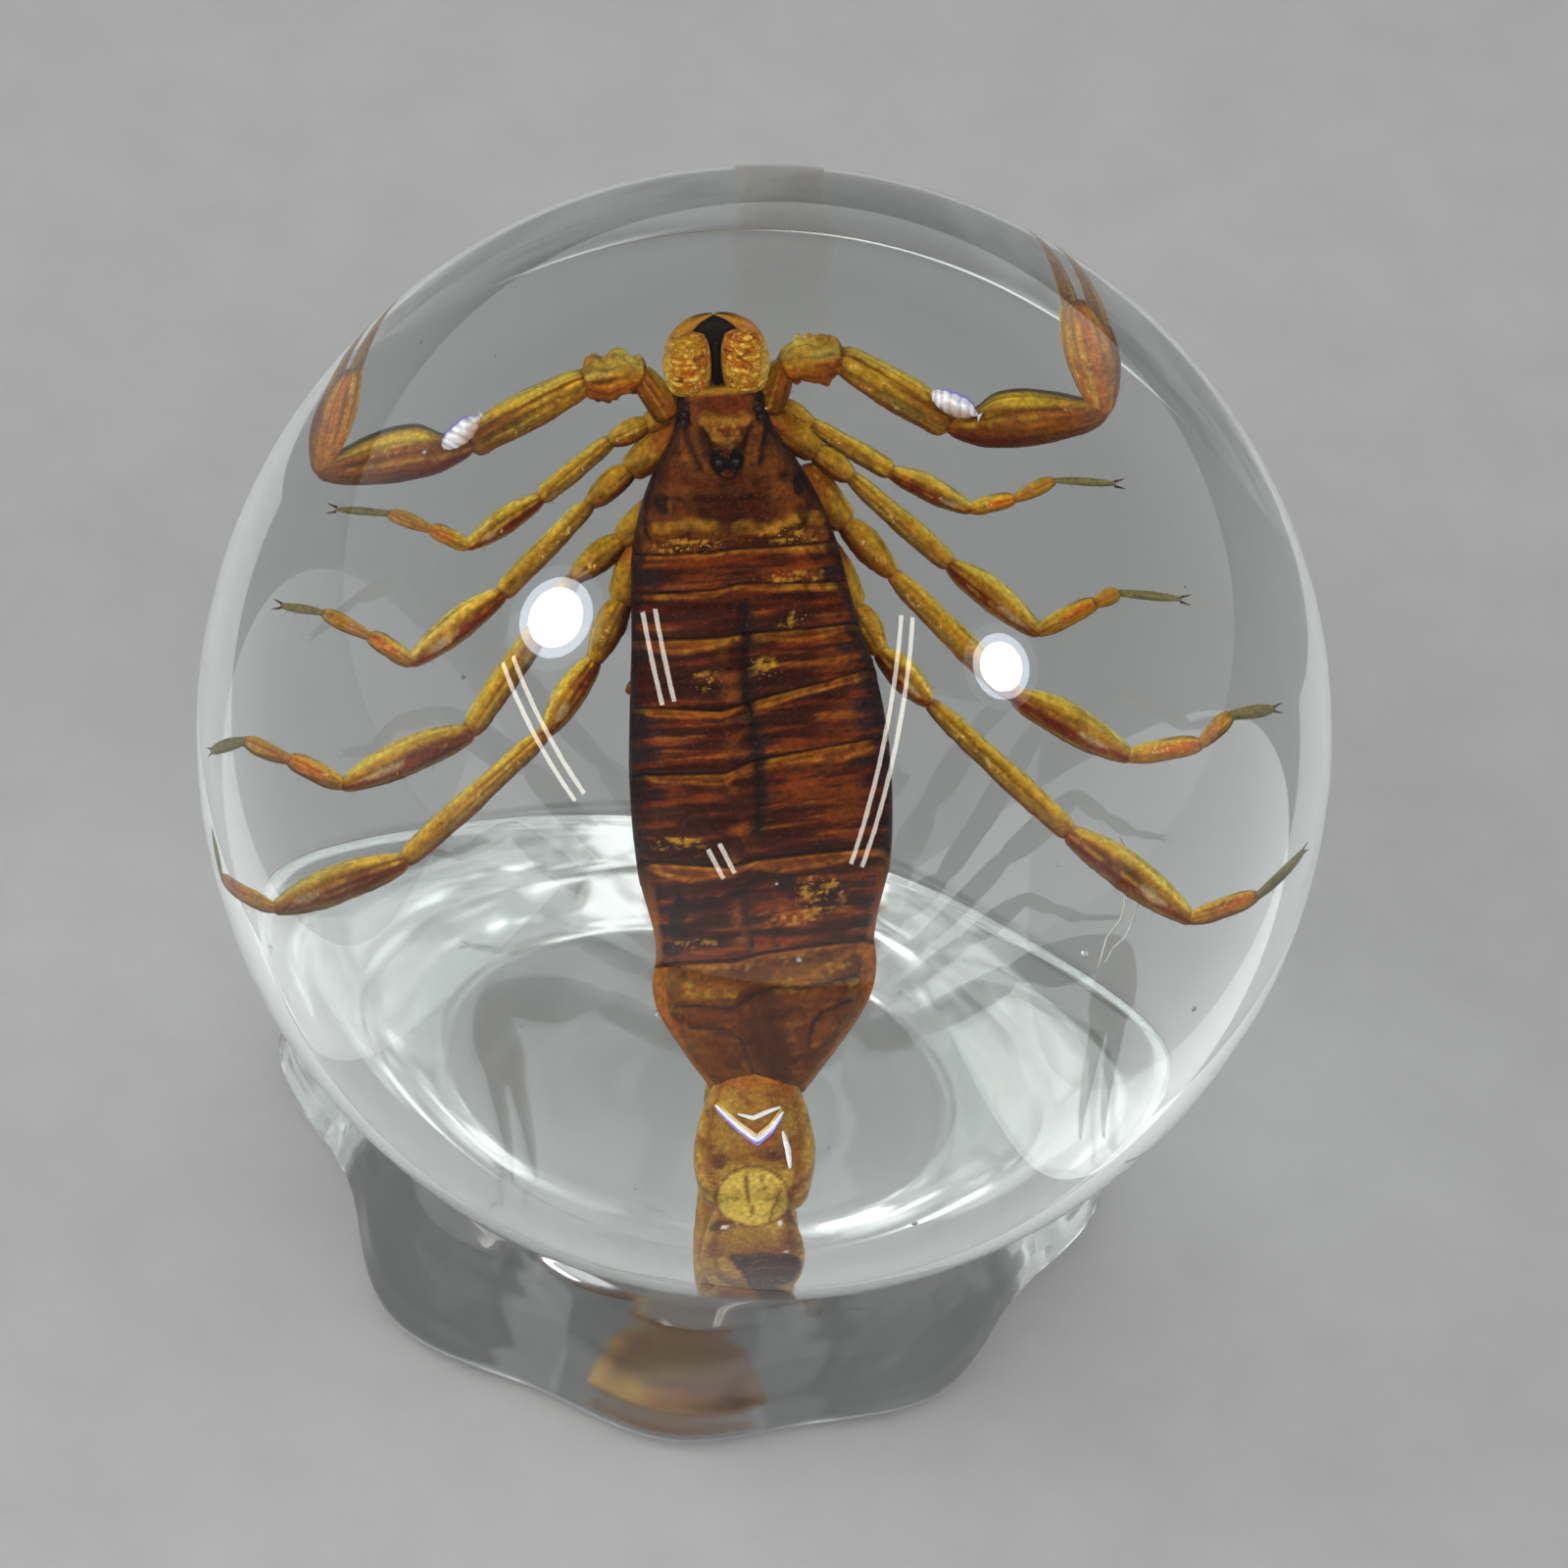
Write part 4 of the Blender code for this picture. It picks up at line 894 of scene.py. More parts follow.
def body_rows():
    """Distances along the body, with close rows at each plate's ledge."""
    starts = (TRUNK_FRONT,) + PLATE_REAR_EDGES
    ends = PLATE_REAR_EDGES + (TRUNK_REAR,)
    rows = []
    for start, end in zip(starts, ends):
        rows.extend(start - np.array(LEDGE_ROWS))
        rows.extend(np.arange(start - LEDGE_ROWS[-1] - ROW_STEP, end + ROW_STEP / 3, -ROW_STEP))
    rows.append(TRUNK_REAR)
    return np.array(rows)


def edge_shift(x, straight):
    """Headward shift of the plates at a point, so that their rear edges run as in life."""
    by_edge = np.array([np.interp(x, SHIFT_STATIONS, shifts) for shifts in EDGE_SHIFTS])
    stations = np.array((TRUNK_FRONT,) + PLATE_REAR_EDGES + (TRUNK_REAR,))
    shifts = np.concatenate((0 * by_edge[:1], by_edge, 0 * by_edge[:1]))
    at = np.interp(-straight, -stations, np.arange(len(stations)))
    low = np.clip(np.floor(at).astype(int), 0, len(stations) - 2)
    part = at - low
    rows, columns = np.arange(len(low))[:, None], np.arange(x.shape[-1])
    return shifts[low, rows, columns] * (1 - part) + shifts[low + 1, rows, columns] * part


def behind_edge(straight, edges, rear):
    """Distance behind the last edge passed, length of that plate, and which edge it is."""
    stations = np.array(edges + (rear,))
    which = np.searchsorted(-stations, -straight, "right") - 1
    inside = np.clip(which, 0, len(edges) - 1)
    distance = np.where(which < 0, -1.0, stations[inside] - straight)
    return distance, stations[inside] - stations[inside + 1], which


def back_relief(x, straight, points, top):
    """Height over the plain trunk: ledges, wrinkles, the midline crease and granules."""
    y = points[..., 1]
    distance, length, which = behind_edge(straight, PLATE_REAR_EDGES, TRUNK_REAR)
    drop = ramp(distance, 0.0, 0.1) * (1 - ramp(distance, 0.1, 0.75 * length))
    drop = np.where(which < 0, 0.0, drop)
    wrinkles = fractal(points, (0.45, 3.0, 0.45), 11.0)
    ridged = -np.abs(noise(points, np.array((0.32, 2.3, 0.32)), 3.0))
    grain = 0.5 * noise(points, 7.0, 8.0) + 0.5 * noise(points, 13.0, 9.0)
    on_plates = ramp(-straight, -6.6, -6.0) * (1 - ramp(-straight, 8.2, 8.6))
    relief = -PLATE_LEDGE * drop
    relief = relief + on_plates * (0.10 * wrinkles + 0.14 * ridged)
    relief = relief + 0.03 * grain * (0.5 + spots(x, y, GLINT_PATCHES))
    relief = relief + (1 - on_plates) * (0.09 * fractal(points, 1.1, 21.0)
                                         - 0.06 * np.abs(noise(points, 2.2, 23.0)))
    relief = relief - 0.26 * strokes(x, y, (MIDLINE_CREASE,), 0.35)
    relief = relief - 0.12 * strokes(x, y, REAR_PLATE_LINES + SIDE_CREASES, 0.16)
    relief = relief - 0.16 * strokes(x, y, CARAPACE_LINES, 0.22)
    relief = relief + 0.1 * strokes(x, y, CARAPACE_PALE_LINES, 0.3)
    return relief * top


def belly_relief(straight, points, under):
    """Shallow ledges behind the belly plates, and a fine grain."""
    distance, length, which = behind_edge(straight, BELLY_REAR_EDGES, TRUNK_REAR)
    drop = np.where(which < 0, 0.0, 1 - ramp(distance, 0.08, 0.6 * length))
    return (-0.22 * drop * ramp(distance, 0.0, 0.08) + 0.03 * fractal(points, 2.0, 31.0)) * under


def lobe_bulge(x):
    """1 in the middle of a golden band's two lobes and 0 at their ends."""
    shares = [np.sqrt(np.clip(1 - ((x - middle) / half) ** 2, 0, 1)) for middle, half in BAND_LOBES]
    return np.max(shares, axis=0)


def paint_bands(tint, x, points, distance, which):
    """Golden skin behind the plates' rear edges: two bright lines with amber between."""
    strength, width = np.zeros_like(x), np.ones_like(x)
    for i, (band, left, right) in enumerate(EDGE_BANDS):
        side = left + (right - left) * ramp(x, -0.9, -0.3)
        strength = np.where(which == i, side, strength)
        width = np.where(which == i, band, width)
    bulge = np.where(which == len(EDGE_BANDS) - 1, 1.0, lobe_bulge(x))
    ragged = width * (0.3 + 0.7 * bulge)
    ragged = ragged * (1 + 0.35 * noise(points, np.array((0.9, 0.4, 0.9)), 41.0))
    worn = cloud(points, (1.2, 2.6, 1.2), 17.0, -0.6, 0.1)
    strength = strength * (0.35 + 0.65 * ramp(bulge, 0.05, 0.4))
    fill = ramp(distance, 0.04, 0.1) * (1 - ramp(distance, ragged, ragged + 0.12))
    fine = fractal(points, 3.2, 43.0)
    inside = mix(AMBER * 0.6, ORANGE * 0.7, ramp(fine, -0.3, 0.4))
    tint = mix(tint, inside, np.clip(fill * strength, 0, 1) * 0.8)
    for place, thickness, share in ((0.13, 0.05, 0.9), (ragged * 0.9, 0.055, 0.9)):
        line = bell(distance, place, thickness) * (which >= 0)
        gold = mix(ORANGE, BRASS * 1.1, ramp(fine, -0.1, 0.4))
        tint = mix(tint, gold, np.clip(line * strength * worn * share, 0, 1))
    return tint


def paint_plates(x, aside, straight, points, broad):
    """Mahogany back plates: wrinkles, warm patches, a lighter middle and a dark border."""
    streaks = fractal(points, (0.6, 3.6, 0.6), 14.0)
    tint = mix(MAHOGANY, RED_BROWN, ramp(streaks + 0.4 * broad, -0.15, 0.55))
    warm = ramp(broad + 0.5 * streaks + 0.25 * ramp(x, 0.0, 3.0), 0.0, 0.6)
    tint = mix(tint, WARM_PATCH, warm * 0.6)
    wrinkles = noise(points, np.array((0.35, 6.5, 0.35)), 91.0)
    wrinkles = wrinkles + 0.6 * noise(points, np.array((0.8, 13.0, 0.8)), 93.0)
    tint = mix(tint, ORANGE * 0.55, ramp(wrinkles, 0.45, 0.9) * ramp(broad + streaks, -0.4, 0.3))
    tint = mix(tint, INK, ramp(-wrinkles, 0.4, 0.9) * 0.75)
    middle = bell(x, -1.1, 0.4) * ramp(-straight, -5.0, -4.0)
    lighter = mix(MAHOGANY, ORANGE * 0.6, cloud(points, 1.1, 35.0, -0.1, 0.35))
    tint = mix(tint, lighter, middle * 0.75)
    return mix(tint, INK * 3, ramp(aside, 0.72, 0.86) * ramp(broad - streaks, -0.1, 0.4) * 0.9)


def paint_carapace(x, y, aside, straight, points):
    """Red-brown shell with dusty patches, veins and violet corners, darker along its middle."""
    tint = mix(RED_BROWN * 0.5, AMBER * 0.62, cloud(points, 1.1, 51.0, -0.4, 0.4))
    tint = mix(tint, MAHOGANY, cloud(points, 1.8, 55.0, -0.05, 0.4) * 0.85)
    flanks = ramp(aside, 0.3, 0.7) * cloud(points, 1.4, 53.0, -0.35, 0.25)
    tint = mix(tint, FLANK, flanks * 0.65)
    dusty = cloud(points, 2.6, 58.0, 0.0, 0.4, 4) * ramp(-straight, -9.5, -7.5)
    tint = mix(tint, DUST, dusty * 0.65)
    veins = 1 - ramp(np.abs(fractal(points, 1.0, 59.0)), 0.0, 0.07)
    tint = mix(tint, INK, veins * 0.55)
    tint = mix(tint, RED_BROWN * 1.3, spots(x, y, CARAPACE_FRONT_PATCH) * 0.5)
    violet = ramp(aside, 0.8, 0.95) * ramp(y, 7.6, 8.4)
    tint = mix(tint, VIOLET_CORNER, violet * 0.7)
    tint = tint * mix((0.8, 0.74, 0.8), (0.66, 0.54, 0.6), ramp(-straight, -9.6, -8.6))
    return mix(tint, MAHOGANY, bell(x, -0.75, 0.9) * ramp(-straight, -9.6, -9.0) * 0.4)


def paint_rear_plate(x, y, aside, straight, points, broad):
    """The last plate: amber and straw, shaded along its middle and olive at its sides."""
    tint = mix(AMBER * 0.6, BRONZE * 1.1, cloud(points, 0.9, 61.0, -0.2, 0.35))
    tint = mix(tint, STRAW, cloud(points, 2.2, 63.0, 0.1, 0.45, 4) * 0.7)
    tint = mix(tint, RUST, cloud(points, 1.3, 64.0, 0.05, 0.4) * 0.8)
    tint = mix(tint, RED_BROWN * 0.4, strokes(x + 0.3 * broad, y, REAR_SHADE, 1.2) * 0.85)
    tint = mix(tint, MAHOGANY, cloud(points, 1.7, 68.0, 0.1, 0.5) * 0.5)
    tint = mix(tint, DULL_OLIVE * 1.3, ramp(aside, 0.8, 0.93) * ramp(broad, -0.4, 0.2) * 0.6)
    specks = cloud(points, 3.0, 69.0, 0.15, 0.45) * (1 - ramp(-straight, 9.3, 10.2))
    return mix(tint * np.array((0.62, 0.46, 0.6)), BRASS * 0.8, specks * 0.5)


def paint_creases(tint, x, y, points):
    """Dark lines where the back is creased, partly the skin's own dark lines and partly painted
    shade in the carved creases, and the carapace's pale lines.
    """
    marks = ((REAR_PLATE_LINES, 0.1, INK * 2, 0.9), ((MIDLINE_CREASE,), 0.42, INK, 0.95),
             (SIDE_CREASES, 0.12, INK, 0.7), (CARAPACE_LINES, 0.17, INK, 0.85),
             (CARAPACE_PALE_LINES, 0.34, BRONZE * 1.3, 0.8))
    worn = cloud(points, 2.2, 66.0, -0.25, 0.35)
    # The dark marks lie in the hollows that back_relief carves: partly painted shade
    for lines, thickness, colour, share in marks:
        drawn = strokes(x, y, lines, thickness) * share
        tint = mix(tint, colour, drawn * (worn if lines is CARAPACE_PALE_LINES else 1.0))
    return tint


def eye_patch(x, y):
    """The black patch round the median eyes."""
    return spots(x, y, EYE_PATCH) * (1 - spots(x, y, EYE_PATCH_NOTCH))


def paint_back(x, y, straight, points):
    """Colours of the carapace and the back plates, with painted shadows along the plates' rear
    edges.
    """
    distance, _, which = behind_edge(straight, PLATE_REAR_EDGES, TRUNK_REAR)
    aside = np.abs(x - curve(TRUNK_MIDLINE, y)) / curve(TRUNK_HALF_WIDTH, y)
    broad, fine = fractal(points, 0.5, 2.0), fractal(points, 3.8, 6.0)
    tint = paint_plates(x, aside, straight, points, broad)
    tint = paint_bands(tint, x, points, distance, which) * np.array((0.84, 0.7, 0.8))
    carapace = paint_carapace(x, y, aside, straight, points)
    tint = mix(tint, carapace, ramp(straight, 6.55, 6.72))
    rear = paint_rear_plate(x, y, aside, straight, points, broad)
    tint = mix(tint, rear, ramp(-straight, 8.2, 8.4) * 0.95)
    tint = paint_creases(tint, x + 0.1 * fine, y + 0.1 * broad, points)
    rim = ramp(aside, 0.93, 0.985)
    tint = mix(tint, mix(INK * 2, AMBER * 1.3, ramp(-straight, 4.5, 7.0)), rim * 0.8)
    tint = mix(tint, STRAW * 1.15, ramp(straight, TRUNK_FRONT - 0.24, TRUNK_FRONT - 0.1) * 0.9)
    # Painted shadow: a dark line along each plate's rear edge, cast on the skin just behind it
    passed = bell(distance, 0.0, 0.07) * (which >= 0)
    edges = np.clip(np.maximum(bell(distance, -0.02, 0.08), passed), 0, 1)
    tint = mix(tint, INK, edges * 0.9)
    tint = mix(tint, INK, spots(x + 0.15 * fine, y, BLACK_SPOTS) * 0.9)
    tint = mix(tint, INK * 0.4, eye_patch(x, y))
    tint = mix(tint, RED_BROWN * 0.35, spots(x, y, EYE_PATCH_KNOB) * 0.9)
    tint = tint * (1 + 0.5 * fine[..., None])
    patches = spots(x + 0.4 * fine, y + 0.25 * broad, GLINT_PATCHES)
    flecks = patches * cloud(points, 5.3, 81.0, 0.1, 0.4, 2)
    tint = mix(tint, STRAW * 1.2, flecks * 0.85)
    return with_glint(np.clip(tint, 0.001, 1), 0.08 + 0.6 * patches)


def paint_eye_mound(_, __, points):
    x, y = points[..., 0], points[..., 1]
    black = eye_patch(x, y) * (1 - spots(x, y, EYE_PATCH_KNOB))
    tint = mix(RED_BROWN * 0.4, AMBER * 0.6, cloud(points, 3.0, 47.0, -0.1, 0.6))
    return with_glint(mix(tint, INK * 0.4, black), 0.2)


def make_trunk(pose, material):
    skin = Skin()
    straight = body_rows()[:, None]
    _, wide, tall = round_outline(TRUNK_COLUMNS, SQUARENESS)
    x = curve(TRUNK_MIDLINE, straight) + curve(TRUNK_HALF_WIDTH, straight) * wide
    flat = straight + 0 * x
    y = straight + edge_shift(x, flat) * ramp(tall, -0.3, 0.3)
    back, belly = curve(TRUNK_BACK, straight), curve(TRUNK_BELLY, straight)
    z = TRUNK_EDGE + np.where(tall > 0, back - TRUNK_EDGE, TRUNK_EDGE - belly) * tall
    points = np.stack((x, y, z), axis=-1)
    top, under = ramp(tall, 0.0, 0.4), ramp(-tall, 0.1, 0.4)
    relief = back_relief(x, flat, points, top) + belly_relief(flat, points, under)
    pleura = bell(tall, -0.12, 0.16) * ramp(-flat, -6.5, -5.5)
    out = np.stack((wide + 0 * x, 0 * x, tall + 0 * x), axis=-1)
    out = out / np.linalg.norm(out, axis=-1, keepdims=True)
    points = points + out * (relief - 0.05 * pleura)[..., None]
    tints = paint_back(x, points[..., 1], flat, points)
    under_tints = limb_paint(90.0)("belly", 0.5 + 0 * x, 1.57 + 0 * x, points)
    share = ramp(-tall, -0.05, 0.2)[None, :] + 0 * x
    skin.grid(points, mix(tints, under_tints * np.array((0.7, 0.6, 0.6, 1.0)), share))
    ball(skin, EYE_MOUND, EYE_MOUND_SIZE, paint_eye_mound, EYE_MOUND_GRID)
    item = skin.build("scorpion_trunk", material, pose)
    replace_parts(item, "scorpion")


def make_eyes(pose, material):
    skin = Skin()
    for centre in MEDIAN_EYES:
        ball(skin, centre, (MEDIAN_EYE_RADIUS,) * 3, plain_paint(INK * 0.4), MEDIAN_EYE_GRID)
    for centre in LATERAL_EYES:
        ball(skin, centre, (LATERAL_EYE_RADIUS,) * 3, plain_paint(INK * 0.6), LATERAL_EYE_GRID)
    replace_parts(skin.build("scorpion_eyes", material, pose), "scorpion")


def chelicera_granules(points):
    return np.abs(noise(points, 4.6, 3.0)) + 0.7 * np.abs(noise(points, 9.0, 7.0))


def chelicera_relief(_, __, points):
    away = np.abs(points[..., 0] - CHELICERA_MIDLINE)
    return (0.09 * chelicera_granules(points) - 0.03) * ramp(away, 0.2, 0.5)


def paint_chelicera(_, __, points):
    """Golden granules on straw and flame-red skin; the pale gold on the granules' peaks and the
    straw on the outer side are partly painted highlight.
    """
    tint = mix(STRAW * 1.05, FLAME * 0.9, cloud(points, 1.6, 33.0, -0.15, 0.25))
    tint = mix(tint, RED_BROWN * 1.2, cloud(points, 2.6, 39.0, 0.1, 0.4) * 0.8)
    granules = chelicera_granules(points)
    tint = mix(tint, BRASS * 1.35, ramp(granules, 0.45, 0.85) * 0.85)
    # Painted highlight: pale gold on the highest granules
    tint = mix(tint, PALE_GOLD, ramp(granules, 0.8, 1.1) * 0.6)
    # A straw rim on the outer side, partly a painted rim highlight
    outer = ramp(np.abs(points[..., 0] - CHELICERA_MIDLINE), 1.5, 1.85)
    return with_glint(mix(tint, STRAW_RIM_HIGHLIGHT, outer * 0.5), 0.8)


def finger_paint(side):
    """Straw outside and black inside, darker towards the tip."""
    def paint(share, angles, points):
        inside = ramp(-np.cos(angles) * side, 0.1, 0.7)
        tint = mix(FINGER_ROOT, STRAW * 1.2, cloud(points, 3.0, 36.0, -0.2, 0.4))
        return with_glint(mix(tint, INK * 1.5, inside * ramp(share, 0.3, 0.9)), 0.2)
    return paint


def make_chelicerae(pose, material):
    skin = Skin()
    rows, columns = CHELICERA_GRID
    turns = np.linspace(POLE_MARGIN, math.pi - POLE_MARGIN, rows)
    girth = np.sin(turns) ** CHELICERA_FULLNESS
    width, length, height = CHELICERA_SIZE
    inner = girth ** CHELICERA_INNER_FULLNESS * (CHELICERA_OFFSET - CHELICERA_SLIT)
    for side in SIDES.values():
        middle = CHELICERA_MIDLINE + side * CHELICERA_OFFSET
        y = CHELICERA_CENTRE_Y - np.cos(turns) * length
        centres = np.stack((middle + 0 * y, y, CHELICERA_HEIGHT + 0 * y), axis=-1)
        tube(skin, centres, tile_rows((side, 0.0, 0.0), rows), tile_rows((0.0, 0.0, 1.0), rows),
             (girth * width, inner, girth * height), paint_chelicera, columns, chelicera_relief,
             CHELICERA_SQUARENESS)
        offset, along = CHELICERA_FINGER_START
        root = Vector((CHELICERA_MIDLINE + side * offset, along, CHELICERA_HEIGHT))
        horn(skin, root, heading_vector(CHELICERA_FINGER_HEADING, side), CHELICERA_FINGER_LENGTH,
             CHELICERA_FINGER_BEND * side, CHELICERA_FINGER_HALF_WIDTH, "Z", finger_paint(side))
    # Near-black balls stand in for the shade in the gaps in front of and between the chelicerae
    for y, z, size in CHELICERA_SHADES:
        ball(skin, (CHELICERA_MIDLINE, y, z), size, plain_paint(INK * 1.5))
    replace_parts(skin.build("scorpion_chelicerae", material, pose), "scorpion")


def joints_from(start, side, lengths, headings, slopes):
    """A limb's joints, from its start outward."""
    joints = [start]
    for length, heading, slope in zip(lengths, headings, slopes):
        joints.append(joints[-1] + heading_vector(heading, side, slope) * length)
    return joints


def limb_axes(start, end, side):
    """Directions across a segment, headward, and up."""
    along = (end - start).normalized()
    up = Vector((0.0, 0.0, 1.0))
    up = (up - along * up.dot(along)).normalized()
    return up.cross(along) * side, up


def add_claws(skin, tip, along, up, paint):
    """Two small hooks that end a leg."""
    across = up.cross(along)
    for side in SIDES.values():
        points, point = [], tip + across * (CLAW_OFFSET * side)
        for i in range(CLAW_ROWS):
            turn = math.radians(CLAW_TURN) * i / (CLAW_ROWS - 1)
            step = along * math.cos(turn) - up * math.sin(turn) + across * (CLAW_SPREAD * side)
            points.append(point.copy())
            point += step.normalized() * CLAW_STEP
        girth = CLAW_RADIUS * (1 - np.linspace(0, 0.9, CLAW_ROWS))
        tube(skin, np.array(points), tile_rows(across, CLAW_ROWS), tile_rows(up, CLAW_ROWS),
             (girth,) * 3, paint, CLAW_ROWS)


def make_leg(side_name, pair, pose, material, hairs, random):
    skin = Skin()
    side = SIDES[side_name]
    hip = Vector((*LEG_HIPS[side_name, pair], LEG_START_HEIGHT))
    headings = LEG_HEADINGS[side_name, pair]
    joints = [hip - heading_vector(headings[0], side) * COXA_LENGTH,
              *joints_from(hip, side, LEG_LENGTHS[side_name, pair], headings, LEG_SLOPES)]
    paint = limb_paint(pair * 3.0 + side)
    kinds = LAST_LEG_SEGMENTS if pair == 4 else LEG_SEGMENTS
    for kind, half_width, start, end in zip(kinds, LEG_HALF_WIDTHS[pair], joints, joints[1:]):
        across, up = limb_axes(start, end, side)
        segment(skin, kind, start, end, across, up, half_width, LEG_TALLNESS, LEG_GRID,
                FINE_KEELS if kind in ("femur", "patella") else (), paint)
        if kind not in ("coxa", "trochanter"):
            add_hairs(hairs, start, end, across, up, half_width, random, HAIR_COUNTS["leg"])
    add_claws(skin, end, (end - start).normalized(), up, plain_paint(MAHOGANY, 0.2))
    item = skin.build(f"scorpion_leg_{side_name}_{pair}", material, pose)
    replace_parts(item, "scorpion")


def add_hairs(hairs, start, end, across, up, half_width, random, count):
    """Sparse bristles that lean towards a segment's tip."""
    along = (end - start).normalized()
    length = (end - start).length
    for _ in range(count):
        turn = random.uniform(0, math.tau)
        out = across * math.cos(turn) + up * math.sin(turn)
        root = (start + along * (length * random.uniform(*HAIR_SHARES))
                + out * (half_width * HAIR_ROOT))
        lean = out + along * random.uniform(*HAIR_LEANS)
        hairs.spike(root, lean, random.uniform(*HAIR_LENGTHS), HAIR_RADIUS, STRAW)


def make_palp(side_name, pose, material, hairs, random):
    skin = Skin()
    side = SIDES[side_name]
    joints = joints_from(Vector((*PALP_STARTS[side_name], PALP_START_HEIGHT)), side,
                         PALP_LENGTHS[side_name], PALP_HEADINGS[side_name], PALP_SLOPES)
    paint = limb_paint(40.0 + 5 * side)
    for kind, half_width, start, end in zip(PALP_SEGMENTS, PALP_HALF_WIDTHS, joints, joints[1:]):
        across, up = limb_axes(start, end, side)
        keels = FINE_KEELS if kind != "palp_coxa" else ()
        segment(skin, kind, start, end, across, up, half_width, 1.0, PALP_GRID, keels, paint)
        add_hairs(hairs, start, end, across, up, half_width, random, HAIR_COUNTS["palp"])
    along = (end - start).normalized()
    outward = along.cross(Vector((0.0, 0.0, 1.0))).normalized() * side
    for offset, turn, bend in CLAW_FINGERS.values():
        direction = Matrix.Rotation(math.radians(turn * side), 3, "Z") @ along
        root = end + outward * offset - along * CLAW_FINGER_OVERLAP
        horn(skin, root, direction, CLAW_FINGER_LENGTH, bend * side, CLAW_FINGER_HALF_WIDTH, "Z",
             blade_paint, CLAW_FINGER_GRID, CLAW_FINGER_FLATNESS)
    item = skin.build(f"scorpion_pedipalp_{side_name}", material, pose)
    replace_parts(item, "scorpion")


def tail_direction(pitch):
    turn, lean = math.radians(pitch), math.radians(TAIL_LEAN)
    yaw = math.radians(TAIL_YAW) * math.cos(turn)
    return Vector((math.sin(turn) * math.sin(lean) - math.sin(yaw),
                   -math.cos(turn), -math.sin(turn) * math.cos(lean))).normalized()


def tail_axes(along):
    across = Vector((1.0, 0.0, 0.0))
    across = (across - along * across.dot(along)).normalized()
    return across, along.cross(across)


def make_tail(pose, material, hairs, random):
    skin = Skin()
    joints = [Vector(TAIL_START)]
    for length, pitch in zip(TAIL_LENGTHS, TAIL_PITCHES):
        joints.append(joints[-1] + tail_direction(pitch) * length)
    for i, (half_width, start, end) in enumerate(zip(TAIL_HALF_WIDTHS, joints, joints[1:])):
        across, up = tail_axes((end - start).normalized())
        segment(skin, "tail", start, end, across, up, half_width, TAIL_TALLNESS, TAIL_GRID,
                TAIL_KEELS, tail_paint(i * 2.0, i < TAIL_WINDOW_SEGMENTS), TAIL_SQUARENESS)
        add_hairs(hairs, start, end, across, up, half_width, random, HAIR_COUNTS["tail"])
    direction = tail_direction(VENOM_BULB_PITCH)
    across, up = tail_axes(direction)
    end = joints[-1] + direction * VENOM_BULB_LENGTH
    segment(skin, "bulb", joints[-1] - direction * VENOM_BULB_OVERLAP, end, across, up,
            VENOM_BULB_HALF_WIDTH, 1.0, BULB_GRID, (), tail_paint(12.0, False))
    horn(skin, end - direction * VENOM_BULB_OVERLAP, direction, STING_LENGTH, STING_BEND,
         STING_HALF_WIDTH, "X", plain_paint(MAHOGANY, 0.2), STING_GRID)
    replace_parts(skin.build("scorpion_tail", material, pose), "scorpion")


def make_combs(pose, material):
    skin = Skin()
    paint = limb_paint(77.0)
    for side in SIDES.values():
        offset, along, height = COMB_ROOT
        middle = float(curve(TRUNK_MIDLINE, along))
        start = Vector((middle + side * offset, along, height))
        end = start + heading_vector(COMB_HEADING, side) * COMB_LENGTH
        across, up = limb_axes(start, end, side)
        segment(skin, "tibia", start, end, across, up, COMB_HALF_WIDTH, COMB_TALLNESS, COMB_GRID,
                (), paint)
        for i in range(COMB_TEETH):
            root = start.lerp(end, (i + 0.5) / COMB_TEETH)
            centre = root - across * (COMB_HALF_WIDTH + COMB_TOOTH_OFFSET) - up * COMB_TOOTH_DROP
            ball(skin, centre, COMB_TOOTH, plain_paint(GOLD, 0.1), COMB_TOOTH_GRID, None,
                 (up.cross(-across), up, -across))
    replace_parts(skin.build("scorpion_combs", material, pose), "scorpion")


def pocket_folds(share, angles):
    return np.cos(math.tau * AIR_FOLDS * (share + 0.06 * np.cos(angles)))


def pocket_relief(share, angles, points):
    taper = ramp(share, 0.55, 1.0) * 0.28
    return 0.014 * pocket_folds(share, angles) + 0.05 * noise(points, 1.6, 5.0) - taper


def paint_pocket(share, angles, points):
    """Silver folds with a blue edge and a brown crease; the silver, white and blue are painted
    reflection of the light that the air mirrors.
    """
    fan = 0.5 + 0.5 * pocket_folds(share, angles)
    fine = fractal(points, 3.0, 8.0)
    tint = mix(PAINTED_SILVER_REFLECTION, PAINTED_WHITE_REFLECTION, ramp(fan + fine, 0.0, 0.7))
    tint = mix(tint, PAINTED_BLUE_FRINGE, ramp(np.cos(angles), 0.86, 0.99))
    creased = ramp(-np.cos(angles) + 0.8 * fine, -0.15, 0.35) * ramp(share, 0.3, 0.5)
    tint = mix(tint, CREASE_BROWN, creased * (1 - ramp(share, 0.72, 0.9)) * 0.75)
    return with_glint(tint, 1.0)


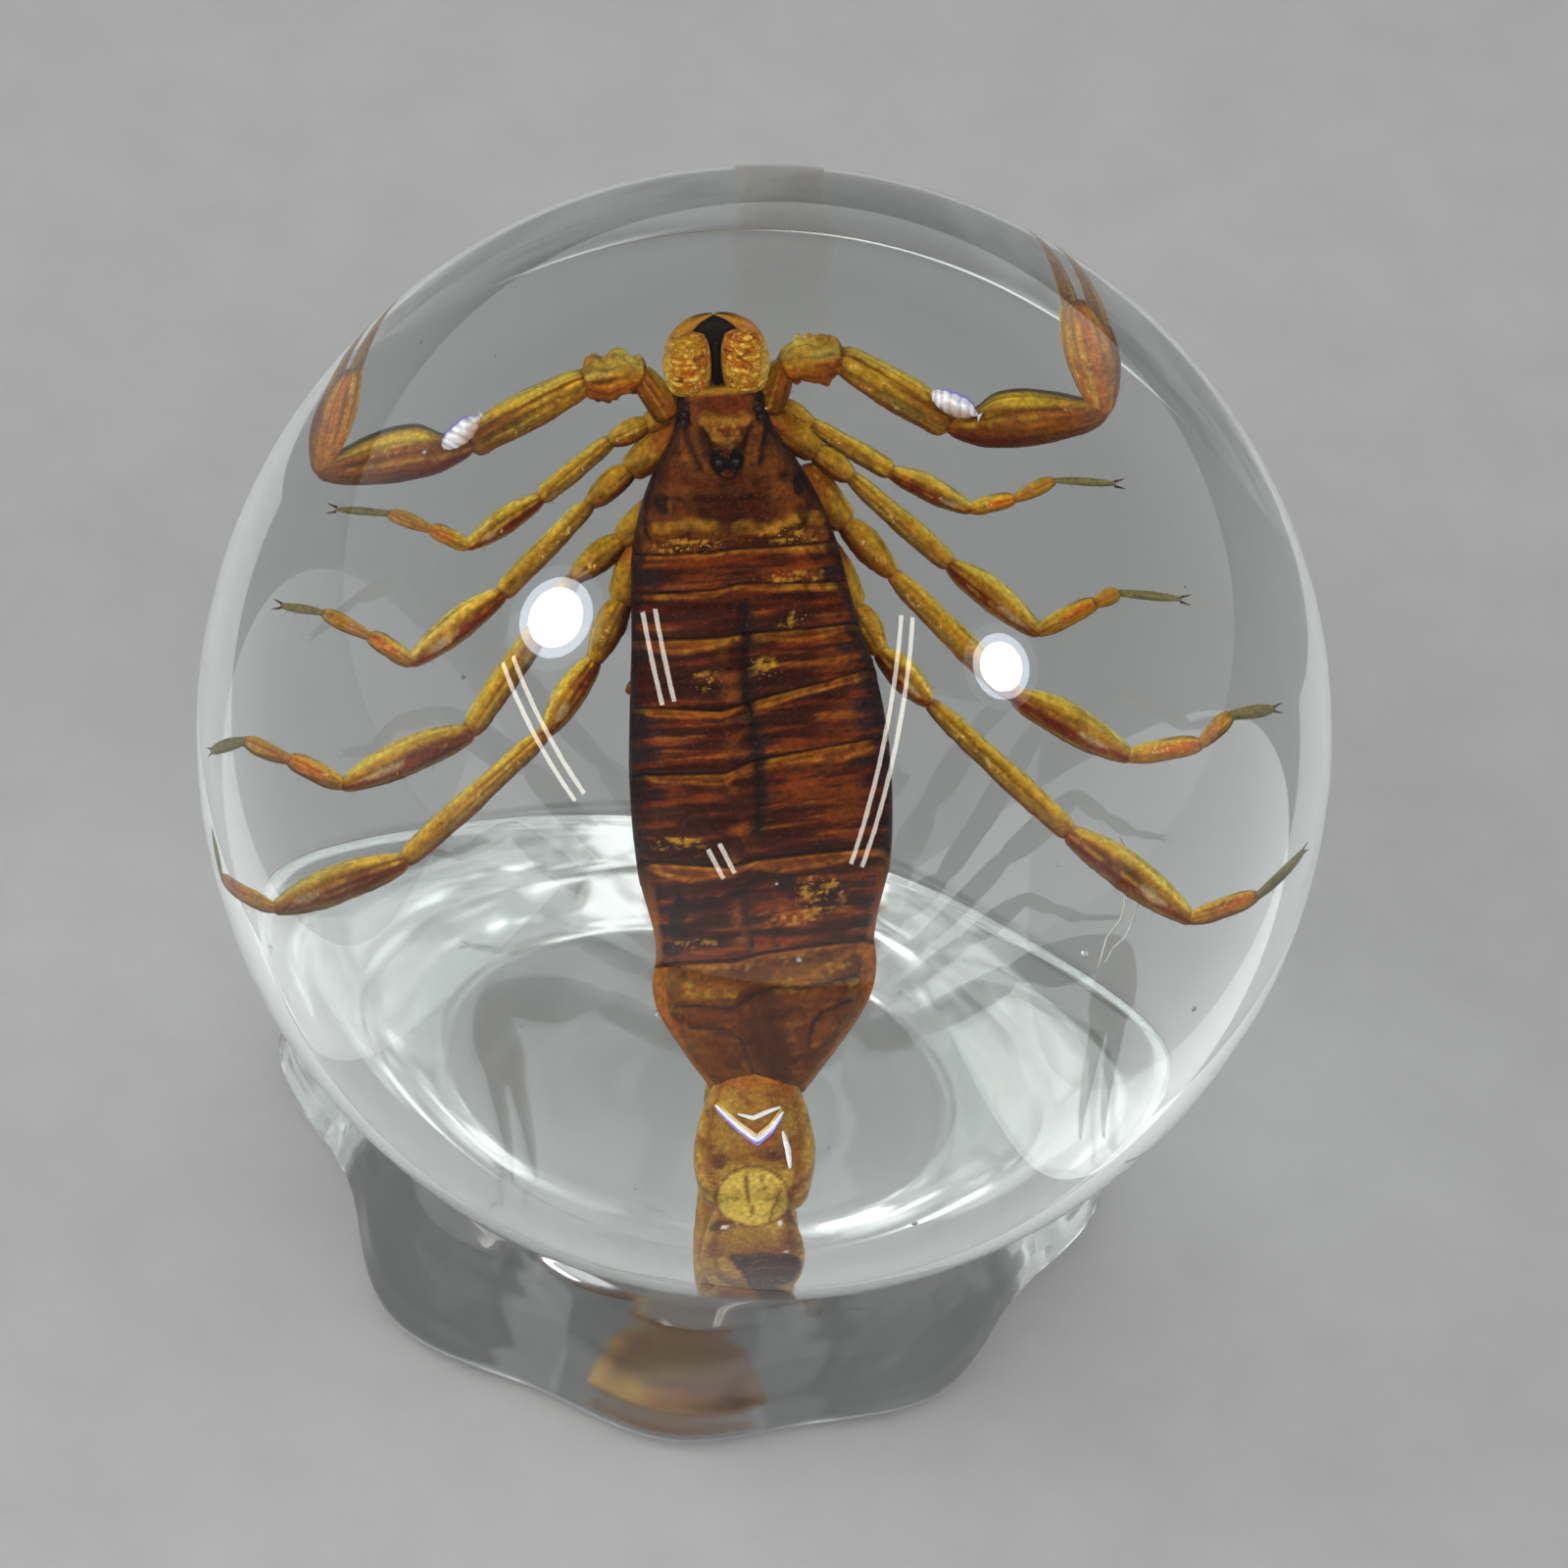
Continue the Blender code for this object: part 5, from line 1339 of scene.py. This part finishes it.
def add_film(skin, corners, half_width, colour, height):
    """A thin strip along a path at one height."""
    path = resample(corners, FILM_ROWS)
    steps = np.gradient(path, axis=0)
    steps = steps / np.linalg.norm(steps, axis=1, keepdims=True)
    across = np.stack((-steps[:, 1], steps[:, 0], 0 * steps[:, 0]), axis=-1)
    centres = np.concatenate((path, np.full((FILM_ROWS, 1), height)), axis=1)
    girth = half_width * np.sin(np.linspace(0.15, math.pi - 0.15, FILM_ROWS)) ** 0.5
    tube(skin, centres, across, tile_rows((0.0, 0.0, 1.0), FILM_ROWS),
         (girth, girth, girth * 0.5), plain_paint(colour, 0.0, 0.05), FILM_COLUMNS)


def make_air_pockets(pose, material):
    """Wedges of air beside the pedipalps' knees and films in the tail, painted silver and white as
    painted reflection, and resin threads.
    """
    skin = Skin()
    for (x, y), length, width, heading, height in AIR_POCKETS.values():
        along = heading_vector(heading)
        across = Vector((-along.y, along.x, 0.0)) * math.copysign(1.0, along.x)
        ball(skin, (x, y, height), (width, length, AIR_POCKET_HALF_DEPTH), paint_pocket,
             AIR_POCKET_GRID, pocket_relief, (across, Vector((0.0, 0.0, 1.0)), along))
    for films, height in ((AIR_FILMS, FILM_HEIGHT), (RESIN_THREADS, THREAD_HEIGHT)):
        for corners, half_width, colour in films:
            add_film(skin, corners, half_width, colour, height)
    skin.build("air_pockets", material, pose)


def resample(corners, count):
    """Even points along a path of straight runs."""
    corners = np.array(corners, float)
    steps = np.linalg.norm(np.diff(corners, axis=0), axis=1)
    lengths = np.concatenate(((0.0,), np.cumsum(steps)))
    at = np.linspace(0, lengths[-1], count)
    return np.stack([np.interp(at, lengths, corners[:, i]) for i in (0, 1)], axis=-1)


def make_globe(resin):
    """The whole globe as one clear body, with fine bubbles in it."""
    body = bmesh.new()
    bmesh.ops.create_icosphere(body, subdivisions=6, radius=GLOBE_RADIUS * MM)
    random = np.random.default_rng(BUBBLE_SEED)
    for _ in range(BUBBLES):
        direction = random.normal(size=3)
        direction /= np.linalg.norm(direction)
        place = direction * GLOBE_RADIUS * random.uniform(*BUBBLE_REACH)
        smallest, largest = BUBBLE_RADII
        radius = smallest + (largest - smallest) * random.random() ** 3
        matrix = Matrix.Translation(Vector(place) * MM)
        made = bmesh.ops.create_icosphere(body, subdivisions=2, radius=radius * MM, matrix=matrix)
        faces = {face for vertex in made["verts"] for face in vertex.link_faces}
        bmesh.ops.reverse_faces(body, faces=list(faces))
    mesh = bpy.data.meshes.new("resin_globe")
    body.to_mesh(mesh)
    body.free()
    mesh.shade_smooth()
    mesh.materials.append(resin)
    item = link_item("resin_globe", mesh)
    item.location = (0.0, 0.0, (GLOBE_LIFT + GLOBE_RADIUS) * MM)
    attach(item, "root")
    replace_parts(item, "globe_upper_half", "globe_lower_half")


def valley_depth(angle):
    """Depth of the stand's wall behind a lobe's tip at an angle in degrees."""
    ends = LOBE_AZIMUTHS[1:] + (LOBE_AZIMUTHS[0] + 360.0,)
    for start, end in zip(LOBE_AZIMUTHS, ends):
        share = ((angle - start) % 360.0) / (end - start)
        if share < 1.0:
            depth = VALLEY_DEPTH * ((end - start) / EVEN_LOBE_SPACING) ** VALLEY_GROWTH
            return depth * (1.0 - math.cos(math.tau * share)) / 2
    return 0.0


def stand_profile():
    """Points round the ring's section: radius, height and share of the valley's depth."""
    reach = GLOBE_RADIUS + SEAT_GAP
    seat = []
    for away in SEAT_POINTS:
        turn = math.asin(SEAT_RADIUS / GLOBE_RADIUS) + away / reach
        seat.append((reach * math.sin(turn),
                     GLOBE_LIFT + GLOBE_RADIUS - reach * math.cos(turn), 0.0))
    knots = ((HOLE_RADIUS, 0.0, 0.0), (SEAT_RADIUS, 0.0, 0.0), *STAND_WALL, *seat,
             (*HOLE_LIP, 0.0), (HOLE_RADIUS, HOLE_LIP[1] / 2, 0.0))
    return closed_curve(np.array(knots), STAND_ROWS)


def make_stand(resin):
    """A clear ring with soft lobes, turned from one rounded profile."""
    profile = stand_profile()
    angles = math.tau * np.arange(STAND_STEPS) / STAND_STEPS
    valleys = np.array([valley_depth(math.degrees(angle)) for angle in angles])
    radius = profile[:, 0] - np.outer(valleys, profile[:, 2])
    points = np.stack((radius * np.cos(angles)[:, None], radius * np.sin(angles)[:, None],
                       np.maximum(profile[:, 1], 0.0) + 0 * radius), axis=-1)
    index = np.arange(STAND_STEPS * STAND_ROWS).reshape(STAND_STEPS, STAND_ROWS)
    after = np.roll(index, -1, axis=0)
    quads = np.stack((index, after, np.roll(after, -1, axis=1), np.roll(index, -1, axis=1)),
                     axis=-1).reshape(-1, 4)
    mesh = bpy.data.meshes.new("resin_stand")
    mesh.from_pydata((points.reshape(-1, 3) * MM).tolist(), [], quads.tolist())
    mesh.shade_smooth()
    face_outward(mesh)
    mesh.materials.append(resin)
    item = link_item("resin_stand", mesh)
    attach(item, "root")
    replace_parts(item, "stand")


def closed_curve(knots, count):
    """Even points on a soft curve round closed knots: straight runs with their corners eased."""
    steps = np.linalg.norm(np.roll(knots[:, :2], -1, axis=0) - knots[:, :2], axis=1)
    lengths = np.concatenate(((0.0,), np.cumsum(steps)))
    closed = np.concatenate((knots, knots[:1]))
    fine = np.linspace(0, lengths[-1], PROFILE_STEPS, endpoint=False)
    line = np.stack([np.interp(fine, lengths, closed[:, i]) for i in range(3)], axis=-1)
    window = np.hanning(EASED_STEPS)
    window /= window.sum()
    half = len(window) // 2
    for i in range(3):
        padded = np.concatenate((line[-half:, i], line[:, i], line[:half, i]))
        line[:, i] = np.convolve(padded, window, "valid")
    return line[np.linspace(0, len(line), count, endpoint=False).astype(int)]


def new_material(name):
    """A material and its main shader."""
    material = bpy.data.materials.new(name)
    material.use_nodes = True
    return material, material.node_tree.nodes["Principled BSDF"]


def feed(material, node, inputs):
    """Sets a node's inputs, each to a value or to another node's output."""
    for name, value in inputs.items():
        if isinstance(value, bpy.types.NodeSocket):
            material.node_tree.links.new(value, node.inputs[name])
        else:
            node.inputs[name].default_value = value


def add_node(material, kind, inputs, **settings):
    node = material.node_tree.nodes.new(kind)
    for name, value in settings.items():
        setattr(node, name, value)
    feed(material, node, inputs)
    return node


def add_noise(material, scale, detail):
    """Noise over the piece's own coordinates."""
    place = add_node(material, "ShaderNodeTexCoord", {})
    texture = add_node(material, "ShaderNodeTexNoise", {
        "Vector": place.outputs["Object"], "Scale": scale, "Detail": detail,
        "Roughness": NOISE_ROUGHNESS})
    return texture.outputs["Fac"]


def painted_tint(material):
    """Outputs of the piece's painted colours."""
    return add_node(material, "ShaderNodeVertexColor", {}, layer_name="tint").outputs


def add_ramp(material, value, dark, light):
    """Two colours over the noise's usual spread."""
    node = add_node(material, "ShaderNodeValToRGB", {"Fac": value})
    for element, place, colour in zip(node.color_ramp.elements, NOISE_SPREAD, (dark, light)):
        element.position = place
        element.color = colour
    return node.outputs["Color"]


def add_bump(material, shader, height, strength, distance):
    relief = add_node(material, "ShaderNodeBump", {"Strength": strength, "Distance": distance,
                                                   "Height": height})
    feed(material, shader, {"Normal": relief.outputs["Normal"]})


def map_range(material, value, spread, low, high):
    """A value's usual spread, laid from `low` to `high`."""
    node = add_node(material, "ShaderNodeMapRange", {
        "Value": value, "From Min": spread[0], "From Max": spread[1], "To Min": low,
        "To Max": high})
    return node.outputs["Result"]


def chitin_material(name, subsurface, glow, bump, roughness):
    """Painted chitin with fine grain, and small painted glints of the glow colour in its base
    colour where air lies under the skin.
    """
    material, shader = new_material(name)
    tint = painted_tint(material)
    grain = add_noise(material, GRAIN_SCALE, 4.0)
    dark, light = ((grey, grey, grey, 1) for grey in GRAIN_GREYS)
    shade = add_node(material, "ShaderNodeMix", {
        "Factor": GRAIN_SHARE, "A": tint["Color"], "B": add_ramp(material, grain, dark, light)},
        data_type="RGBA", blend_type="MULTIPLY")
    flakes = map_range(material, add_noise(material, FLAKE_SCALE, 2.0), FLAKE_SPREAD, 0.0, 1.0)
    masked = add_node(material, "ShaderNodeMath", {0: flakes, 1: tint["Alpha"]},
                      operation="MULTIPLY")
    # Painted glints: the glow colour mixed into the base colour in flakes, where the tint's glint
    # share is high
    bright = add_node(material, "ShaderNodeMix", {
        "Factor": masked.outputs["Value"], "A": shade.outputs["Result"], "B": glow},
        data_type="RGBA")
    add_bump(material, shader, grain, bump, CHITIN_BUMP)
    feed(material, shader, {
        "Base Color": bright.outputs["Result"],
        "Roughness": map_range(material, grain, NOISE_SPREAD, roughness - 0.1, roughness + 0.15),
        "Subsurface Weight": subsurface, "Subsurface Radius": SUBSURFACE_RADIUS,
        "Subsurface Scale": SUBSURFACE_SCALE, "Specular IOR Level": CHITIN_SPECULAR,
        "Specular Tint": CHITIN_SPECULAR_TINT})
    return material


def resin_material(name, waviness, roughness):
    """Clear cast resin: plain transmission, with a trace of absorption and of surface waves."""
    material, shader = new_material(name)
    feed(material, shader, {"Base Color": (1.0, 1.0, 1.0, 1.0), "Transmission Weight": 1.0,
                            "IOR": RESIN_IOR, "Roughness": roughness})
    add_bump(material, shader, add_noise(material, 90.0, 1.0), waviness, WAVE_BUMP)
    absorption = add_node(material, "ShaderNodeVolumeAbsorption", {"Color": RESIN_TINT,
                                                                   "Density": RESIN_DENSITY})
    output = material.node_tree.nodes["Material Output"]
    feed(material, output, {"Volume": absorption.outputs["Volume"]})
    return material


def air_material():
    """Air seen through the resin as a slightly metallic skin with fine folds; its silver and white
    are painted reflection of the light it mirrors.
    """
    material, shader = new_material("caught_air")
    folds = add_noise(material, 1800.0, 2.0)
    add_bump(material, shader, folds, 0.5, WAVE_BUMP)
    feed(material, shader, {"Base Color": painted_tint(material)["Color"], "Metallic": 0.2,
                            "Roughness": map_range(material, folds, NOISE_SPREAD, 0.05, 0.35)})
    return material


def eye_material():
    material, shader = new_material("eye_black")
    grain = add_noise(material, 4000.0, 2.0)
    feed(material, shader, {"Base Color": painted_tint(material)["Color"],
                            "Roughness": map_range(material, grain, NOISE_SPREAD, 0.05, 0.15)})
    return material


def floor_material():
    material, shader = new_material("pale_floor")
    colour = add_ramp(material, add_noise(material, 160.0, 6.0), *FLOOR_GREYS)
    feed(material, shader, {"Base Color": colour, "Roughness": 0.7})
    return material


def make_floor():
    body = bmesh.new()
    bmesh.ops.create_grid(body, x_segments=24, y_segments=24, size=FLOOR_HALF_WIDTH * MM)
    mesh = bpy.data.meshes.new("floor")
    body.to_mesh(mesh)
    body.free()
    mesh.materials.append(floor_material())
    floor = link_item("floor", mesh)
    floor.location.z = FLOOR_DROP * MM


def globe_centre():
    return Vector((0.0, 0.0, (GLOBE_LIFT + GLOBE_RADIUS) * MM))


def pixel_sight(pixel, focal):
    """Towards a pixel of the photograph, in the camera's own axes."""
    half = IMAGE_SIZE / 2
    return Vector(((pixel[0] - half) / focal, (half - pixel[1]) / focal, -1.0))


def camera_frame():
    """Camera's matrix and focal length in pixels, from the globe's outline in the photograph."""
    distance = CAMERA_DISTANCE * (GLOBE_RADIUS * MM)
    focal = GLOBE_RADIUS_PIXELS * math.sqrt(CAMERA_DISTANCE ** 2 - 1)
    rise, roll = math.radians(CAMERA_ELEVATION), math.radians(CAMERA_ROLL)
    towards = Vector((0.0, -math.cos(rise), math.sin(rise)))
    upright = Vector((0.0, math.sin(rise), math.cos(rise)))
    right = Vector((1.0, 0.0, 0.0))
    image_up = upright * math.cos(roll) - right * math.sin(roll)
    image_right = right * math.cos(roll) + upright * math.sin(roll)
    sight = pixel_sight(GLOBE_CENTRE_PIXEL, focal).normalized()
    view_up = Vector((0.0, 1.0, 0.0))
    view_up = (view_up + sight * -view_up.dot(sight)).normalized()
    in_camera = Matrix((view_up.cross(-sight), view_up, -sight)).transposed()
    in_world = Matrix((image_right, image_up, towards)).transposed()
    turn = in_world @ in_camera.transposed()
    return Matrix.Translation(globe_centre() + towards * distance) @ turn.to_4x4(), focal


def make_camera(matrix, focal):
    camera = bpy.data.cameras.new("camera")
    camera.sensor_width = SENSOR_WIDTH
    camera.lens = focal / IMAGE_SIZE * SENSOR_WIDTH
    camera.clip_start = 0.01
    item = link_item("camera", camera)
    item.matrix_world = matrix
    bpy.context.scene.camera = item


def mirror_direction(matrix, focal, pixel):
    """Where the globe's front, seen at a pixel, mirrors the camera's sight to."""
    eye = matrix.translation
    sight = (matrix.to_3x3() @ pixel_sight(pixel, focal)).normalized()
    to_eye = eye - globe_centre()
    along = to_eye.dot(sight)
    reach = -along - math.sqrt(along * along - to_eye.length_squared + (GLOBE_RADIUS * MM) ** 2)
    point = eye + sight * reach
    normal = (point - globe_centre()).normalized()
    return point, (sight - normal * (2 * sight.dot(normal))).normalized()


def area_light(name, place, target, size, power, gloss_only=False, side=None, colour=(1, 1, 1)):
    """A softbox that faces the target; `side` sets the direction of its longer edge."""
    lamp = bpy.data.lights.new(name, "AREA")
    lamp.energy = power
    lamp.color = colour
    lamp.shape = "DISK" if size[0] == size[1] and gloss_only else "RECTANGLE"
    lamp.size, lamp.size_y = size
    item = link_item(name, lamp)
    back = (place - target).normalized()
    up = side or Vector((0.0, 0.0, 1.0))
    up = (up - back * up.dot(back)).normalized()
    turn = Matrix((up.cross(back), up, back)).transposed()
    item.matrix_world = Matrix.Translation(place) @ turn.to_4x4()
    if gloss_only:
        item.visible_diffuse = False
        item.visible_transmission = False
    return item


def make_softboxes():
    for name, place, size, power in SOFTBOXES:
        lamp = area_light(name, Vector(place), globe_centre(), size, power)
        lamp.visible_glossy = False


def make_round_lamps(matrix, focal):
    """Round lamps with a glow, which the globe mirrors where the photograph shows them."""
    for i, (x, y, radius) in enumerate(ROUND_LIGHT_PIXELS):
        point, outward = mirror_direction(matrix, focal, (x, y))
        for j, (share, power, colour) in enumerate(ROUND_LIGHT_RINGS):
            width = 2 * LAMP_DISTANCE * 2 * radius * share / GLOBE_RADIUS_PIXELS
            area_light(f"round_{i}_{j}", point + outward * (LAMP_DISTANCE + RING_STEP * j), point,
                       (width, width), power * width * width, True, None, colour)


def make_strip_lamps(matrix, focal):
    """Pairs of strip lamps, mirrored from end to end as the photograph shows them."""
    for i, (top, bottom) in enumerate(STRIP_LIGHT_PIXELS):
        middle = [(a + b) / 2 for a, b in zip(top, bottom)]
        point, outward = mirror_direction(matrix, focal, middle)
        ends = [mirror_direction(matrix, focal, end) for end in (top, bottom)]
        near, far = (start + way * LAMP_DISTANCE for start, way in ends)
        side = far - near
        shift = side.cross(outward).normalized()
        size = (STRIP_WIDTH, side.length)
        for offset in (-1, 1):
            place = point + outward * LAMP_DISTANCE + shift * (STRIP_GAP * offset)
            area_light(f"strip_{i}_{offset}", place, point, size,
                       STRIP_POWER * size[0] * size[1], True, side, STRIP_COLOUR)


def make_world():
    world = bpy.data.worlds.new("studio")
    bpy.context.scene.world = world
    world.use_nodes = True
    nodes, links = world.node_tree.nodes, world.node_tree.links
    place = nodes.new("ShaderNodeTexCoord")
    parts = nodes.new("ShaderNodeSeparateXYZ")
    links.new(place.outputs["Generated"], parts.inputs["Vector"])
    sky = nodes.new("ShaderNodeValToRGB")
    elements = sky.color_ramp.elements
    while len(elements) < len(SKY_STOPS):
        elements.new(0.5)
    for element, (height, grey) in zip(elements, SKY_STOPS):
        element.position = height
        element.color = (grey * 0.98, grey * 0.99, grey, 1)
    links.new(parts.outputs["Z"], sky.inputs["Fac"])
    links.new(sky.outputs["Color"], nodes["Background"].inputs["Color"])


def set_light_paths():
    scene = bpy.context.scene
    scene.view_settings.view_transform = "Standard"
    cycles = scene.cycles
    cycles.max_bounces = 48
    cycles.transmission_bounces = 32
    cycles.diffuse_bounces = 4
    cycles.glossy_bounces = 32
    cycles.sample_clamp_indirect = 6.0
    cycles.use_denoising = True


def main():
    matrix, focal = camera_frame()
    make_camera(matrix, focal)
    make_softboxes()
    make_round_lamps(matrix, focal)
    make_strip_lamps(matrix, focal)
    make_world()
    make_floor()
    set_light_paths()
    pose = (Matrix.Translation(globe_centre()) @ Matrix.Rotation(math.radians(BACK_LEAN), 4, "X")
            @ Matrix.Rotation(math.radians(HEAD_TURN), 4, "Z"))
    random = np.random.default_rng(HAIR_SEED)
    # The colours given here are those of the painted glints
    body = chitin_material("chitin_dark", 0.05, (0.60, 0.36, 0.12, 1), 0.7, 0.40)
    amber = chitin_material("chitin_amber", 0.25, (0.95, 0.72, 0.30, 1), 0.6, 0.34)
    make_trunk(pose, body)
    make_eyes(pose, eye_material())
    make_chelicerae(pose, amber)
    hairs = Skin()
    for side_name in SIDES:
        make_palp(side_name, pose, amber, hairs, random)
        for pair in LEG_HALF_WIDTHS:
            make_leg(side_name, pair, pose, amber, hairs, random)
    make_tail(pose, amber, hairs, random)
    make_combs(pose, amber)
    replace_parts(hairs.build("scorpion_hairs", amber, pose), "scorpion")
    make_air_pockets(pose, air_material())
    make_globe(resin_material("globe_resin", 0.02, 0.0))
    make_stand(resin_material("stand_resin", 0.0, 0.07))


main()
